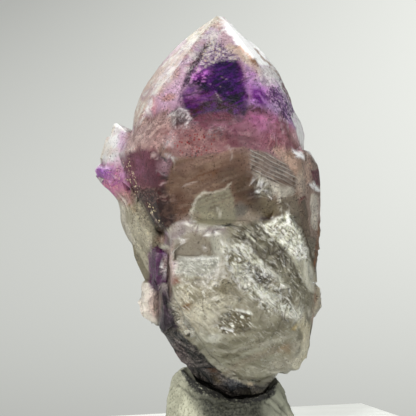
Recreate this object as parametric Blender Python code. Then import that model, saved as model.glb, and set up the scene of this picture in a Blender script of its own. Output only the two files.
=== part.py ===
"""An amethyst scepter standing in a lump of grey putty.

The quartz is one solid: a broad violet cap with a six-sided point, the stem that it grew on, smaller
crystals that grew beside it in the same direction, and a large broken face low down in front. The
putty is the second solid, with a socket that the foot of the stem stands in.

Sizes are in millimetres, +Z is up and the broken face looks along -Y. The origin is the middle of
the putty's flat underside.
"""

import math

import bmesh
import bpy
from mathutils import Matrix, Vector, noise

MM = 0.001

# A face of a quartz point leans this far from square to the long axis
POINT_FACE_ANGLE = math.radians(51.8)
# A side that turns back in under a cap leans this far
UNDERSIDE_ANGLE = math.radians(67.0)

# Spacing of the points that a broken surface is worked from, and the triangles left on it
BREAK_GRID = 0.5
MASS_TRIANGLES = 3600
STEM_TRIANGLES = 1300

# The rough band over the broken mass: a point on its middle line, and half its width
BAND_X = -3.3
BAND_Z = 33.6
BAND_HALF_WIDTH = 6.0

# The putty and the gap round the foot in it
PUTTY_RADIUS = 11.8
PUTTY_DEPTH_RADIUS = 11.0
PUTTY_MIDDLE = 2.6
PUTTY_HALF_HEIGHT = 4.6
LEFT_LOBE = 10.4
RIGHT_LOBE = 7.8
BACK_LOBE = 4.0
# Flats pressed in the putty by fingers: the way each looks, and how far out it lies
PRESSED_FLATS = (
    ((0.78, -0.55, 0.42), 11.2),
    ((0.9, -0.05, 0.42), 12.1),
    ((0.45, -0.85, 0.2), 10.3),
    ((-0.2, 0.9, 0.4), 11.0),
)
SOCKET_GAP = 0.4
MASS_GAP = 1.0
SMOOTH_ANGLE = 40

# Knobbly lumps without crystal faces: middle, half sizes, and the seed of their knobs
WHITE_LUMP = ((-13.4, -1.0, 23.4), (2.7, 3.4, 4.4), 1.7)
RIGHT_LUMP = ((14.3, -0.8, 23.4), (2.3, 3.6, 3.4), 5.2)

# Chips out of the front below the recess: x, z, size and turn in degrees
CHIPS = (
    (5.6, 45.2, 1.1, 10),
    (6.6, 44.2, 1.3, 50),
    (7.8, 43.6, 1.0, 85),
    (5.4, 43.9, 0.9, 30),
)
CHIP_FRONT = -12.6

# The front of the quartz is laid out as it looks from here: how far off, how far down, and the middle
VIEW_DISTANCE = 320.0
VIEW_TILT = math.radians(2.0)
VIEW_MIDDLE_X = -3.6
VIEW_MIDDLE_Z = 40.5


def clear_scene():
    for obj in list(bpy.data.objects):
        bpy.data.objects.remove(obj)


def object_from(name, bm):
    """A new object that holds bm, given in millimetres."""
    bmesh.ops.recalc_face_normals(bm, faces=bm.faces)
    mesh = bpy.data.meshes.new(name)
    bm.to_mesh(mesh)
    bm.free()
    obj = bpy.data.objects.new(name, mesh)
    bpy.context.scene.collection.objects.link(obj)
    return obj


def take_modified_mesh(obj):
    """Gives obj the mesh that its modifiers make, and takes the modifiers off."""
    bpy.context.view_layer.update()
    graph = bpy.context.evaluated_depsgraph_get()
    mesh = bpy.data.meshes.new_from_object(obj.evaluated_get(graph))
    obj.modifiers.clear()
    obj.data = mesh


def boolean(obj, other, operation):
    modifier = obj.modifiers.new(operation.title(), "BOOLEAN")
    modifier.operation = operation
    modifier.object = other
    take_modified_mesh(obj)
    bpy.data.objects.remove(other)


def keep_largest_piece(obj):
    """Drops the closed slivers that are left inside where three shapes meet."""
    bm = bmesh.new()
    bm.from_mesh(obj.data)
    waiting = set(bm.verts)
    pieces = []
    while waiting:
        piece = {waiting.pop()}
        front = list(piece)
        while front:
            vert = front.pop()
            for edge in vert.link_edges:
                far = edge.other_vert(vert)
                if far in waiting:
                    waiting.remove(far)
                    piece.add(far)
                    front.append(far)
        pieces.append(piece)
    pieces.sort(key=len)
    for piece in pieces[:-1]:
        bmesh.ops.delete(bm, geom=list(piece), context="VERTS")
    bm.to_mesh(obj.data)
    bm.free()


def put_in_perspective(verts):
    """Takes points on the front from where they look to be to where they are. Seen from in front and a
    little above, near points look larger and lower."""
    for vert in verts:
        nearer = max(0.0, -vert.co.y)
        share = 1 - nearer / VIEW_DISTANCE
        vert.co.x = VIEW_MIDDLE_X + (vert.co.x - VIEW_MIDDLE_X) * share
        vert.co.z = VIEW_MIDDLE_Z + (vert.co.z - VIEW_MIDDLE_Z) * share + nearer * math.sin(VIEW_TILT)


def cut_block(planes, centre, reach=90.0):
    """A block round centre, cut by planes. A plane is a point on it and the way to what is cut off."""
    bm = bmesh.new()
    bmesh.ops.create_cube(bm, size=reach, matrix=Matrix.Translation(centre))
    for point, away in planes:
        everything = bm.verts[:] + bm.edges[:] + bm.faces[:]
        made = bmesh.ops.bisect_plane(
            bm, geom=everything, plane_co=point, plane_no=away, clear_outer=True
        )
        rim = [e for e in made["geom_cut"] if isinstance(e, bmesh.types.BMEdge)]
        if rim:
            bmesh.ops.contextual_create(bm, geom=rim)
    bmesh.ops.remove_doubles(bm, verts=bm.verts, dist=0.01)
    return bm


def hull(points):
    """The smallest solid with flat faces that holds all the points."""
    bm = bmesh.new()
    for point in points:
        bm.verts.new(point)
    made = bmesh.ops.convex_hull(bm, input=bm.verts)
    inside = [v for v in made["geom_interior"] if isinstance(v, bmesh.types.BMVert)]
    bmesh.ops.delete(bm, geom=inside, context="VERTS")
    return bm


def quartz_point(foot, tip, apothem, turn=-90.0, prism=(1,) * 6, drop=(0,) * 6, under=None):
    """A six-sided crystal from foot to tip.

    turn is the compass direction of side 0 in degrees, prism scales how far each side stands from the
    axis, and drop lowers each face of the point. under gives the height at which each side turns back
    in, where a cap ends above its stem.
    """
    foot = Vector(foot)
    tip = Vector(tip)
    axis = (tip - foot).normalized()
    across = Vector((1, 0, 0))
    across = (across - axis * across.dot(axis)).normalized()
    planes = [(foot, -axis)]
    for side in range(6):
        out = Matrix.Rotation(math.radians(turn + 60 * side), 3, axis) @ across
        wall = foot + out * apothem * prism[side]
        planes.append((wall, out))
        point_face = axis * math.cos(POINT_FACE_ANGLE) + out * math.sin(POINT_FACE_ANGLE)
        planes.append((tip - axis * drop[side], point_face))
        if under:
            edge = wall + axis * ((under[side] - foot.z) / axis.z)
            planes.append((edge, out * math.sin(UNDERSIDE_ANGLE) - axis * math.cos(UNDERSIDE_ANGLE)))
    return cut_block(planes, foot.lerp(tip, 0.5))


def sawtooth(value):
    return value - math.floor(value)


def break_relief(place):
    """How far the broken face stands out at a place: shells all over, steps along a band that runs down
    to the right and over the upper right corner."""
    shell = noise.noise(place * 0.13 + Vector((5.3, 0.7, 2.1)))
    bend = noise.noise(place * 0.34 + Vector((1.9, 7.4, 3.3)))
    across_band = (place.x - BAND_X) * 0.59 + (place.z - BAND_Z) * 0.81
    in_band = max(0.0, 1.0 - abs(across_band) / BAND_HALF_WIDTH)
    in_corner = max(0.0, min(1.0, (place.x - 5.0) / 2.0, (place.z - 29.5) / 2.0))
    off_ledge = max(0.0, min(1.0, max(place.x + 1.4, 27.6 - place.z)))
    in_front = max(0.0, min(1.0, (-6.0 - place.y) / 3.0))
    off_facet = max(0.0, min(1.0, max(12.4 - place.x, 24.0 - place.z)))
    rough = max(in_band, 0.8 * in_corner) * off_ledge * off_facet * in_front
    step = sawtooth(across_band / 3.3 + 1.1 * bend)
    hackle = sawtooth((place.x * 0.4 + place.z * 0.91) / 1.5 + 1.4 * bend + 0.9 * shell)
    return 0.7 * shell + 0.16 * bend + rough * (0.6 * step + 0.34 * hackle - 0.45)


def skin_relief(place):
    """How far the stem's etched skin stands out: growth steps across it and shallow pits. In the putty
    it stays back, clear of the socket."""
    bend = noise.noise(place * 0.24 + Vector((8.8, 1.1, 4.5)))
    step = sawtooth(place.z / 3.1 + 0.8 * bend)
    pit = max(0.0, noise.noise(place * 0.45 + Vector((2.2, 6.1, 9.7))) - 0.12)
    in_putty = max(0.0, min(1.0, (13.0 - place.z) / 2.5))
    return 0.3 * step + 0.35 * bend - 1.0 * pit - 0.1 - 0.3 * in_putty


def worked_surface(obj, relief, triangles):
    """Gives obj a relief, and keeps the number of triangles that hold its ridges best."""
    remesh = obj.modifiers.new("Even grid", "REMESH")
    remesh.mode = "VOXEL"
    remesh.voxel_size = BREAK_GRID
    take_modified_mesh(obj)
    bm = bmesh.new()
    bm.from_mesh(obj.data)
    bm.normal_update()
    moves = [(vert, vert.normal * relief(vert.co)) for vert in bm.verts]
    for vert, move in moves:
        vert.co += move
    bmesh.ops.triangulate(bm, faces=bm.faces)
    share = triangles / len(bm.faces)
    bm.to_mesh(obj.data)
    bm.free()
    decimate = obj.modifiers.new("Fewer triangles", "DECIMATE")
    decimate.ratio = share
    take_modified_mesh(obj)


def cap():
    """The violet cap: a steep gothic point that rounds over to the sides."""
    return hull(
        [
            # The tip and the left outline
            (-2.4, 0.3, 75.2),
            (-1.1, 0.0, 75.3),
            (-8.7, 1.6, 70.4),
            (-12.3, 2.2, 66.4),
            (-15.0, 2.4, 62.8),
            (-16.8, 2.2, 59.2),
            (-17.4, 2.2, 55.6),
            (-16.9, 2.0, 45.0),
            # The right outline
            (3.4, 0.9, 71.3),
            (6.2, 1.1, 68.8),
            (8.5, 1.4, 66.4),
            (10.0, 1.5, 64.1),
            (11.3, 1.6, 61.0),
            (12.6, 1.6, 58.3),
            (13.6, 1.6, 55.6),
            (14.1, 1.5, 52.9),
            (14.0, 1.5, 50.4),
            # The narrow left face
            (-10.1, -8.0, 64.6),
            (-14.6, -7.4, 60.0),
            (-16.6, -5.0, 55.7),
            # The broad front face
            (2.2, -4.2, 69.9),
            (5.7, -6.8, 66.4),
            (-2.4, -10.1, 62.6),
            (3.4, -10.3, 62.3),
            (-4.0, -12.2, 58.9),
            (4.3, -12.3, 58.6),
            (-9.5, -11.0, 57.4),
            (9.0, -10.0, 58.6),
            (11.2, -7.2, 59.0),
            (12.6, -5.4, 54.5),
            (12.6, -5.2, 50.2),
            (10.6, -9.8, 50.6),
            (-2.0, -13.1, 54.0),
            (4.5, -13.2, 53.6),
            (-10.0, -12.4, 52.5),
            # Down to where the broken mass takes over
            (3.0, -11.6, 38.0),
            (9.4, -10.2, 40.0),
            (-8.0, -11.6, 36.0),
            (-13.0, -7.0, 36.0),
            (11.2, 4.0, 42.0),
            (-12.0, 6.0, 38.0),
            # The back
            (-7.2, 9.4, 66.0),
            (3.8, 8.6, 66.6),
            (-12.6, 10.8, 59.4),
            (-2.6, 13.4, 60.6),
            (8.6, 10.8, 60.2),
            (-13.2, 11.2, 50.4),
            (-1.6, 15.2, 52.0),
            (10.6, 10.6, 50.6),
            (0.0, 12.8, 40.6),
        ]
    )


def window():
    """The shallow frame round the dark window on the front of the point."""
    front = Vector((0, -0.79, 0.61))
    middle = Vector((-2.2, -8.6, 64.4))
    planes = [(middle - front * 0.45, -front)]
    outline = (
        (-8.2, 61.9, -1.0, -0.1),
        (-5.6, 67.7, -1.0, 0.42),
        (-2.4, 70.6, -0.25, 1.0),
        (0.9, 69.9, 0.9, 0.7),
        (3.3, 65.2, 1.0, 0.16),
        (4.0, 60.0, 1.0, 0.0),
        (-6.9, 59.2, -0.6, -0.8),
        (-2.4, 58.8, 0.05, -1.0),
        (3.4, 58.4, 0.4, -0.9),
    )
    for x, z, out_x, out_z in outline:
        planes.append((Vector((x, 0, z)), Vector((out_x, 0, out_z))))
    return cut_block(planes, middle, 30.0)


def stem_core():
    """The stem under the cap, running in to a narrow foot."""
    return hull(
        [
            (-12.6, -4.0, 42.0),
            (-6.0, -9.6, 42.0),
            (6.4, -9.4, 44.0),
            (12.6, -1.0, 44.0),
            (8.0, 10.2, 48.0),
            (-6.0, 12.2, 48.0),
            (-12.6, 6.0, 44.0),
            (-12.8, 2.0, 27.0),
            (-12.4, 3.5, 21.0),
            (-6.0, 10.2, 22.0),
            (7.0, 9.6, 20.0),
            (12.8, 2.0, 20.0),
            (12.4, -4.0, 24.0),
            (-8.4, 2.6, 12.6),
            (-4.0, 7.4, 12.0),
            (5.0, 7.6, 11.6),
            (10.4, 1.5, 11.6),
            (8.6, -3.8, 9.8),
            (6.6, -4.8, 7.6),
            (5.6, -4.2, 5.4),
            (0.6, -5.2, 5.6),
            (-4.4, -4.2, 7.4),
            (-6.4, -3.4, 9.6),
            (-3.8, 4.0, 5.8),
            (4.6, 4.4, 5.2),
            (7.4, 0.6, 6.6),
            (-5.0, 0.0, 6.8),
        ]
    )


def dark_column():
    """The upright dark crystal at the left of the break."""
    return hull(
        [
            (-12.5, -7.6, 28.0),
            (-12.5, -7.6, 18.9),
            (-11.8, -10.2, 28.0),
            (-11.6, -10.2, 18.6),
            (-10.4, -10.0, 17.3),
            (-7.0, -10.0, 18.0),
            (-7.0, -10.6, 28.0),
            (-12.4, -3.0, 28.0),
            (-12.3, -3.0, 19.6),
            (-7.0, -3.0, 16.0),
            (-7.0, -2.0, 28.0),
            (-10.6, -4.0, 17.0),
        ]
    )


def front_skin():
    """The dark skin of the stem under the broken mass, running down to the foot."""
    return hull(
        [
            (-11.2, -6.0, 17.9),
            (-10.9, -6.2, 15.4),
            (-9.4, -6.4, 13.5),
            (-7.9, -6.0, 11.8),
            (-7.3, -5.8, 10.6),
            (-3.4, -6.6, 8.2),
            (2.2, -6.8, 6.4),
            (5.6, -6.0, 5.7),
            (8.2, -4.2, 9.4),
            (2.0, -8.0, 9.6),
            (-4.0, -8.8, 14.4),
            (-8.4, -9.0, 18.0),
            (-10.6, 0.0, 18.6),
            (-7.0, 2.0, 12.0),
            (-3.0, 0.0, 7.4),
            (4.0, 0.0, 6.0),
            (8.0, 0.0, 12.0),
            (4.0, 0.0, 18.0),
        ]
    )


def broken_mass_block():
    """The outline of the pale quartz in front, before anything is broken out of it."""
    return hull(
        [
            (-10.9, -8.0, 37.2),
            (-10.9, -11.6, 36.4),
            (-7.8, -12.4, 38.0),
            (2.2, -12.6, 38.2),
            (6.9, -12.0, 38.2),
            (11.0, -9.4, 39.3),
            (12.5, -7.4, 37.2),
            (14.1, -6.2, 34.6),
            (15.2, -5.0, 30.0),
            (15.4, -4.4, 24.8),
            (15.2, -4.4, 16.0),
            (13.9, -4.4, 12.9),
            (11.2, -5.0, 10.4),
            (8.9, -6.4, 9.8),
            (3.3, -7.8, 9.1),
            (1.3, -8.6, 9.6),
            (-1.6, -9.8, 11.3),
            (-5.0, -10.8, 14.9),
            (-8.0, -11.6, 18.7),
            (-10.2, -12.0, 25.0),
            (-10.7, -12.6, 30.6),
            (-10.2, -15.8, 27.4),
            (-9.6, -15.8, 24.4),
            (-1.4, -16.0, 34.6),
            (-1.0, -17.8, 28.0),
            (6.4, -14.4, 36.2),
            (10.8, -13.0, 31.8),
            (12.4, -12.0, 26.0),
            (13.0, -11.4, 21.4),
            (5.0, -16.8, 26.0),
            (-2.6, -18.0, 23.6),
            (3.6, -17.6, 21.4),
            (-7.6, -15.4, 20.6),
            (4.4, -15.8, 14.8),
            (11.6, -11.4, 14.8),
            (-2.6, -14.4, 15.4),
            (5.4, -12.0, 10.8),
            (-8.0, -4.0, 34.0),
            (8.0, -2.0, 34.0),
            (9.0, -1.0, 14.0),
            (-3.0, -3.0, 16.0),
        ]
    )


def broken_mass():
    """The pale quartz in front, where a side crystal broke away, with a ledge, a recess and a pit."""
    mass = object_from("broken_mass", broken_mass_block())
    # The upper right is set back behind a ridge that runs down to the right.
    recess = cut_block(
        [
            (Vector((3.7, -13.2, 29.4)), Vector((-0.42, 0.5, -1))),
            (Vector((5.0, -13.6, 32.0)), Vector((-0.52, 1, -0.3))),
            (Vector((10.6, 0, 32.0)), Vector((1, 0.2, 0.3))),
            (Vector((0, 0, 44.0)), Vector((0, 0, 1))),
        ],
        Vector((6, -20, 34)),
        30.0,
    )
    boolean(mass, object_from("recess", recess), "DIFFERENCE")
    worked_surface(mass, break_relief, MASS_TRIANGLES)
    # The upper left has an upright window over a sloping frosted ledge.
    ledge = cut_block(
        [
            (Vector((-9.9, -12.0, 31.0)), Vector((-1, -0.1, 0.0))),
            (Vector((-1.0, -12.0, 31.0)), Vector((1, -0.5, 0.15))),
            (Vector((-5.0, -12.3, 31.6)), Vector((0.0, 1, 0.1))),
            (Vector((0, -12.3, 31.7)), Vector((-0.04, 0.86, -1))),
            (Vector((-9.6, 0, 35.8)), Vector((-0.2, 0.1, 1))),
        ],
        Vector((-7, -20, 34)),
        30.0,
    )
    boolean(mass, object_from("ledge", ledge), "DIFFERENCE")
    # The pit goes in by two steps.
    for inset in (0.0, 0.9):
        pit = cut_block(
            [
                (Vector((-2.7 + inset, 0, 20.6)), Vector((-1, 0, 0.3))),
                (Vector((3.4 - inset, 0, 22.0)), Vector((1, 0, 0.25))),
                (Vector((0, 0, 23.0 - 0.6 * inset)), Vector((0.28, 0, 1))),
                (Vector((0, -16.6, 19.6 + 0.5 * inset)), Vector((0.15, 0.4, -1))),
                (Vector((0, -16.5 + 0.8 * inset, 21.0)), Vector((0.1, 1, 0.3))),
            ],
            Vector((0, -22, 21)),
            16.0,
        )
        boolean(mass, object_from("pit", pit), "DIFFERENCE")
    return mass


def shield_crystal():
    """The broad crystal at the left of the cap, widest at its corner and narrowing downwards."""
    return hull(
        [
            (-16.9, -3.6, 55.3),
            (-14.8, -6.8, 56.2),
            (-12.4, -9.4, 57.8),
            (-8.0, -12.2, 58.0),
            (-19.7, -3.2, 50.2),
            (-18.4, -5.8, 50.8),
            (-17.2, -7.8, 51.4),
            (-15.5, -10.4, 51.9),
            (-13.2, -13.0, 51.5),
            (-9.4, -14.0, 52.6),
            (-12.4, -13.2, 44.0),
            (-8.4, -13.6, 46.0),
            (-18.3, -4.4, 46.2),
            (-17.2, -5.4, 43.9),
            (-15.8, -6.2, 41.8),
            (-14.4, -7.0, 40.1),
            (-13.9, -7.6, 38.0),
            (-12.5, -8.8, 35.6),
            (-10.4, -11.4, 36.0),
            (-8.6, -12.2, 36.8),
            (-17.0, 0.6, 49.0),
            (-13.4, 0.0, 38.0),
            (-4.0, -8.0, 56.0),
            (-4.0, -8.0, 38.0),
        ]
    )


def side_crystals():
    """(name, shape) of each smaller crystal that grew beside the cap and the stem."""
    yield "shield_tip", quartz_point((-8.0, -10.0, 50.0), (-7.5, -12.0, 60.2), 2.4, -75)
    yield "shield_step", hull(
        [
            (-12.6, -13.3, 51.0),
            (-9.4, -14.6, 50.5),
            (-12.3, -13.7, 47.4),
            (-10.6, -14.7, 46.8),
            (-9.0, -14.2, 48.4),
            (-12.0, -11.0, 52.0),
            (-8.0, -11.0, 51.0),
            (-12.0, -11.0, 45.6),
            (-9.0, -11.0, 45.8),
        ]
    )
    # The crystal at the left is a small scepter of its own: a pale head on a grey stem.
    yield "left_head", hull(
        [
            (-20.7, 1.8, 55.7),
            (-20.1, 1.6, 55.9),
            (-17.6, 2.0, 54.7),
            (-16.4, 4.6, 53.6),
            (-22.4, 2.0, 52.2),
            (-23.4, 2.4, 50.7),
            (-23.2, 2.6, 48.0),
            (-21.6, -1.4, 50.4),
            (-19.6, -2.6, 51.8),
            (-17.0, -1.6, 53.0),
            (-21.4, -1.4, 46.2),
            (-18.0, -2.4, 44.0),
            (-19.6, 6.8, 52.0),
            (-20.0, 6.4, 46.0),
            (-16.0, 7.4, 44.0),
            (-15.0, 6.4, 52.0),
            (-14.0, 0.0, 52.0),
            (-14.0, 0.0, 42.0),
        ]
    )
    yield "left_bud", hull(
        [
            (-23.1, 0.6, 48.5),
            (-24.1, 0.4, 47.6),
            (-24.0, 1.0, 46.2),
            (-22.9, 0.8, 44.7),
            (-21.6, 0.8, 43.3),
            (-20.7, 1.0, 42.2),
            (-22.6, -1.8, 47.6),
            (-20.6, -2.6, 46.6),
            (-19.4, -2.4, 43.4),
            (-18.0, 0.0, 48.4),
            (-18.0, 0.0, 40.0),
            (-21.0, 4.0, 47.0),
            (-19.0, 4.0, 41.0),
        ]
    )
    yield "left_stem", hull(
        [
            (-21.7, 1.2, 43.6),
            (-20.6, 1.4, 42.2),
            (-19.6, 1.8, 40.0),
            (-19.4, 1.8, 37.2),
            (-18.1, 1.4, 34.0),
            (-16.9, 1.0, 31.1),
            (-15.0, 0.4, 27.2),
            (-13.9, 0.0, 26.8),
            (-18.6, -2.4, 43.6),
            (-16.4, -4.0, 38.4),
            (-14.2, -5.0, 34.6),
            (-12.6, -4.4, 28.6),
            (-17.4, 5.8, 43.0),
            (-15.8, 5.4, 33.0),
            (-12.8, 4.8, 28.0),
            (-10.0, 0.0, 44.0),
            (-10.0, 0.0, 26.0),
        ]
    )
    yield "violet_prism", hull(
        [
            (-14.0, -8.6, 32.9),
            (-12.7, -8.8, 34.1),
            (-14.0, -8.8, 26.9),
            (-12.8, -9.4, 25.4),
            (-10.6, -10.4, 25.8),
            (-13.0, -11.0, 32.4),
            (-11.0, -11.4, 32.0),
            (-13.0, -11.2, 27.4),
            (-11.2, -11.6, 27.0),
            (-12.0, -9.8, 33.6),
            (-13.4, -6.0, 32.0),
            (-13.4, -6.0, 27.0),
            (-9.0, -8.0, 33.0),
            (-9.0, -8.0, 26.0),
        ]
    )
    # The crystal at the right stands against the stem from below the cap down to the break.
    yield "right_crystal", hull(
        [
            (13.4, 0.6, 51.6),
            (15.4, 0.8, 50.6),
            (16.3, 1.0, 49.0),
            (16.8, 1.2, 47.0),
            (16.9, 1.4, 38.2),
            (16.4, 1.0, 36.4),
            (16.1, 0.8, 32.0),
            (15.8, 0.6, 27.0),
            (14.4, -3.0, 49.2),
            (15.9, -2.0, 45.6),
            (14.6, -4.6, 44.4),
            (15.6, -2.4, 38.0),
            (14.2, -4.8, 37.0),
            (14.8, -2.6, 28.0),
            (12.6, -6.2, 46.6),
            (12.0, -6.8, 36.0),
            (14.6, 5.0, 48.6),
            (15.6, 5.4, 38.0),
            (14.4, 4.6, 28.0),
            (10.0, 4.0, 50.0),
            (9.0, 4.0, 28.0),
            (9.0, -6.0, 46.0),
            (9.0, -6.0, 30.0),
        ]
    )
    # Its sloping top, and the step between it and the cap, catch the light.
    yield "right_step", hull(
        [
            (11.0, -8.4, 51.0),
            (13.8, -5.4, 50.4),
            (13.0, -3.4, 51.8),
            (14.3, -6.2, 48.8),
            (12.6, -9.0, 48.9),
            (7.4, -12.2, 49.0),
            (12.4, -9.0, 40.0),
            (14.0, -6.0, 39.0),
            (8.4, -11.4, 38.0),
            (8.0, -4.0, 51.0),
            (8.0, -4.0, 38.0),
            (13.0, -2.0, 39.0),
        ]
    )
    # Behind, three crystals that grew with the cap.
    yield "back_left_crystal", quartz_point(
        (-8.0, 8.4, 24.0),
        (-9.2, 9.8, 58.0),
        6.2,
        -90,
        (1, 0.9, 1.08, 1, 1, 0.9),
        (0.4, 0, 1.2, 0.3, 0, 0.7),
        (30, 34, 34, 36, 33, 31),
    )
    yield "back_right_crystal", quartz_point(
        (6.4, 7.8, 18.0),
        (7.6, 9.4, 52.6),
        5.4,
        -90,
        (1, 1.1, 1, 0.94, 1, 1),
        (0, 1.1, 0.2, 0.9, 0, 0.2),
        (22, 26, 27, 29, 28, 24),
    )
    yield "back_low_crystal", quartz_point(
        (-3.4, 6.6, 14.0),
        (-4.6, 10.0, 37.2),
        4.8,
        -84,
        (1, 1, 0.86, 1, 1.1, 1),
        (0, 0.5, 0.2, 0.8, 0, 0.4),
        (17, 18, 19, 20, 18, 17),
    )


def lump(centre, radii, seed):
    """A rounded, knobbly piece of quartz without crystal faces."""
    bm = bmesh.new()
    bmesh.ops.create_icosphere(bm, subdivisions=3, radius=1.0)
    for vert in bm.verts:
        place = Vector((vert.co.x * radii[0], vert.co.y * radii[1], vert.co.z * radii[2]))
        knob = noise.noise(place * 0.5 + Vector((seed, 0, 0)))
        vert.co = Vector(centre) + place + vert.co * knob
    return bm


def striated_recess():
    """A shallow recess in the front under the cap, with a ledge below it and grooves across its back,
    all running down to the right."""
    yield cut_block(
        [
            (Vector((3.9, 0, 48.0)), Vector((-1, 0, 0))),
            (Vector((3.9, 0, 51.6)), Vector((0.45, 0.3, 1))),
            (Vector((3.9, -13.0, 46.2)), Vector((-0.5, 0.7, -1))),
            (Vector((3.9, -12.2, 48.0)), Vector((-0.42, 1, 0.05))),
            (Vector((12.0, 0, 46.0)), Vector((1, 0, 0.2))),
        ],
        Vector((6, -18, 48)),
        20.0,
    )
    for step in range(6):
        left = 50.8 - step * 0.72
        right = 46.6 - step * 0.42
        yield hull(
            [
                (4.0, -13.6, left + 0.3),
                (4.0, -11.9, left),
                (4.0, -13.6, left - 0.3),
                (11.9, -10.6, right + 0.2),
                (11.9, -8.6, right),
                (11.9, -10.6, right - 0.2),
            ]
        )


def chips():
    """Small chips out of the front below the recess."""
    for x, z, size, turn in CHIPS:
        bm = bmesh.new()
        spot = Vector((x, CHIP_FRONT, z))
        spin = Matrix.Rotation(math.radians(turn), 4, (0.3, 1, 0.4))
        bmesh.ops.create_cube(bm, size=size, matrix=Matrix.Translation(spot) @ spin)
        yield bm


def right_notch():
    """A notch in the front edge of the right-hand crystal, over a bright slanting ledge."""
    return cut_block(
        [
            (Vector((15.2, -3.0, 45.0)), Vector((-1, 0.3, 0))),
            (Vector((15.0, -3.2, 47.1)), Vector((0.2, 0, 1))),
            (Vector((15.2, -3.2, 44.9)), Vector((-0.5, 0.9, -1))),
            (Vector((15.2, -1.2, 45.0)), Vector((0.3, 1, 0))),
        ],
        Vector((17, -4, 46)),
        8.0,
    )


def scepter():
    """All the quartz, joined in one solid."""
    quartz = object_from("amethyst_scepter", cap())
    boolean(quartz, object_from("window", window()), "DIFFERENCE")
    core = object_from("stem_core", stem_core())
    boolean(core, object_from("front_skin", front_skin()), "UNION")
    worked_surface(core, skin_relief, STEM_TRIANGLES)
    boolean(quartz, core, "UNION")
    boolean(quartz, object_from("dark_column", dark_column()), "UNION")
    boolean(quartz, object_from("shield_crystal", shield_crystal()), "UNION")
    for name, shape in side_crystals():
        boolean(quartz, object_from(name, shape), "UNION")
    for cut in [*striated_recess(), *chips(), right_notch()]:
        boolean(quartz, object_from("front_cut", cut), "DIFFERENCE")
    boolean(quartz, object_from("white_lump", lump(*WHITE_LUMP)), "UNION")
    boolean(quartz, object_from("right_lump", lump(*RIGHT_LUMP)), "UNION")
    boolean(quartz, broken_mass(), "UNION")
    keep_largest_piece(quartz)
    put_in_perspective(quartz.data.vertices)
    return quartz


def putty():
    """The lump of putty, pressed up in two lobes beside the stem, with the socket of its foot."""
    bm = bmesh.new()
    bmesh.ops.create_icosphere(bm, subdivisions=4, radius=1.0)
    for vert in bm.verts:
        side = LEFT_LOBE * max(0.0, -vert.co.x) + RIGHT_LOBE * max(0.0, vert.co.x)
        lobe = max(0.0, vert.co.z) * (side + BACK_LOBE * max(0.0, vert.co.y))
        place = Vector((vert.co.x * PUTTY_RADIUS, vert.co.y * PUTTY_DEPTH_RADIUS, 0))
        place.z = PUTTY_MIDDLE + vert.co.z * PUTTY_HALF_HEIGHT + lobe
        dent = noise.noise(place * 0.22 + Vector((3.1, 8.2, 0.4)))
        place *= 1 + 0.05 * dent
        for way, reach in PRESSED_FLATS:
            way = Vector(way).normalized()
            place -= way * max(0.0, way.dot(place) - reach)
        vert.co = place
    lump_of_putty = object_from("putty_base", bm)
    below = cut_block([(Vector((0, 0, 0)), Vector((0, 0, 1)))], Vector((0, 0, -20)), 60.0)
    boolean(lump_of_putty, object_from("below", below), "DIFFERENCE")
    return lump_of_putty


def hollow_socket(lump_of_putty):
    """Takes the foot's shape out of the putty, a little larger all round."""
    shapes = (
        (stem_core(), SOCKET_GAP),
        (front_skin(), SOCKET_GAP),
        (broken_mass_block(), MASS_GAP),
    )
    for shape, gap in shapes:
        shape.normal_update()
        moves = [(vert, vert.normal * vert.calc_shell_factor() * gap) for vert in shape.verts]
        for vert, move in moves:
            vert.co += move
        put_in_perspective(shape.verts)
        boolean(lump_of_putty, object_from("socket", shape), "DIFFERENCE")
    keep_largest_piece(lump_of_putty)


def colour(obj, name, base, roughness, transmission=0.0):
    material = bpy.data.materials.new(name)
    material.use_nodes = True
    shader = material.node_tree.nodes["Principled BSDF"]
    shader.inputs["Base Color"].default_value = (*base, 1)
    shader.inputs["Roughness"].default_value = roughness
    shader.inputs["Metallic"].default_value = 0.0
    shader.inputs["IOR"].default_value = 1.54
    shader.inputs["Transmission Weight"].default_value = transmission
    obj.data.materials.clear()
    obj.data.materials.append(material)


def shade_smooth(obj, sharpest):
    """Shades obj smooth, with the edges over the sharpest angle in degrees kept."""
    for polygon in obj.data.polygons:
        polygon.use_smooth = True
    obj.data.set_sharp_from_angle(angle=math.radians(sharpest))


def to_metres(obj):
    bm = bmesh.new()
    bm.from_mesh(obj.data)
    bmesh.ops.scale(bm, vec=(MM, MM, MM), verts=bm.verts)
    bm.to_mesh(obj.data)
    bm.free()


def main():
    clear_scene()
    quartz = scepter()
    base = putty()
    hollow_socket(base)
    for obj in (quartz, base):
        to_metres(obj)
    shade_smooth(base, SMOOTH_ANGLE)
    colour(quartz, "amethyst", (0.36, 0.27, 0.36), 0.2, 0.4)
    colour(base, "putty", (0.36, 0.36, 0.29), 0.85)


main()
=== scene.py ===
"""The looks of an amethyst scepter that stands in a lump of grey putty.

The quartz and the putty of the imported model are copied, worked up to fine surfaces and finished. Sizes
here are in millimetres unless a name says otherwise, +X is right, +Y is away from the camera, +Z is up.
"""

import itertools
import math

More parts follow.
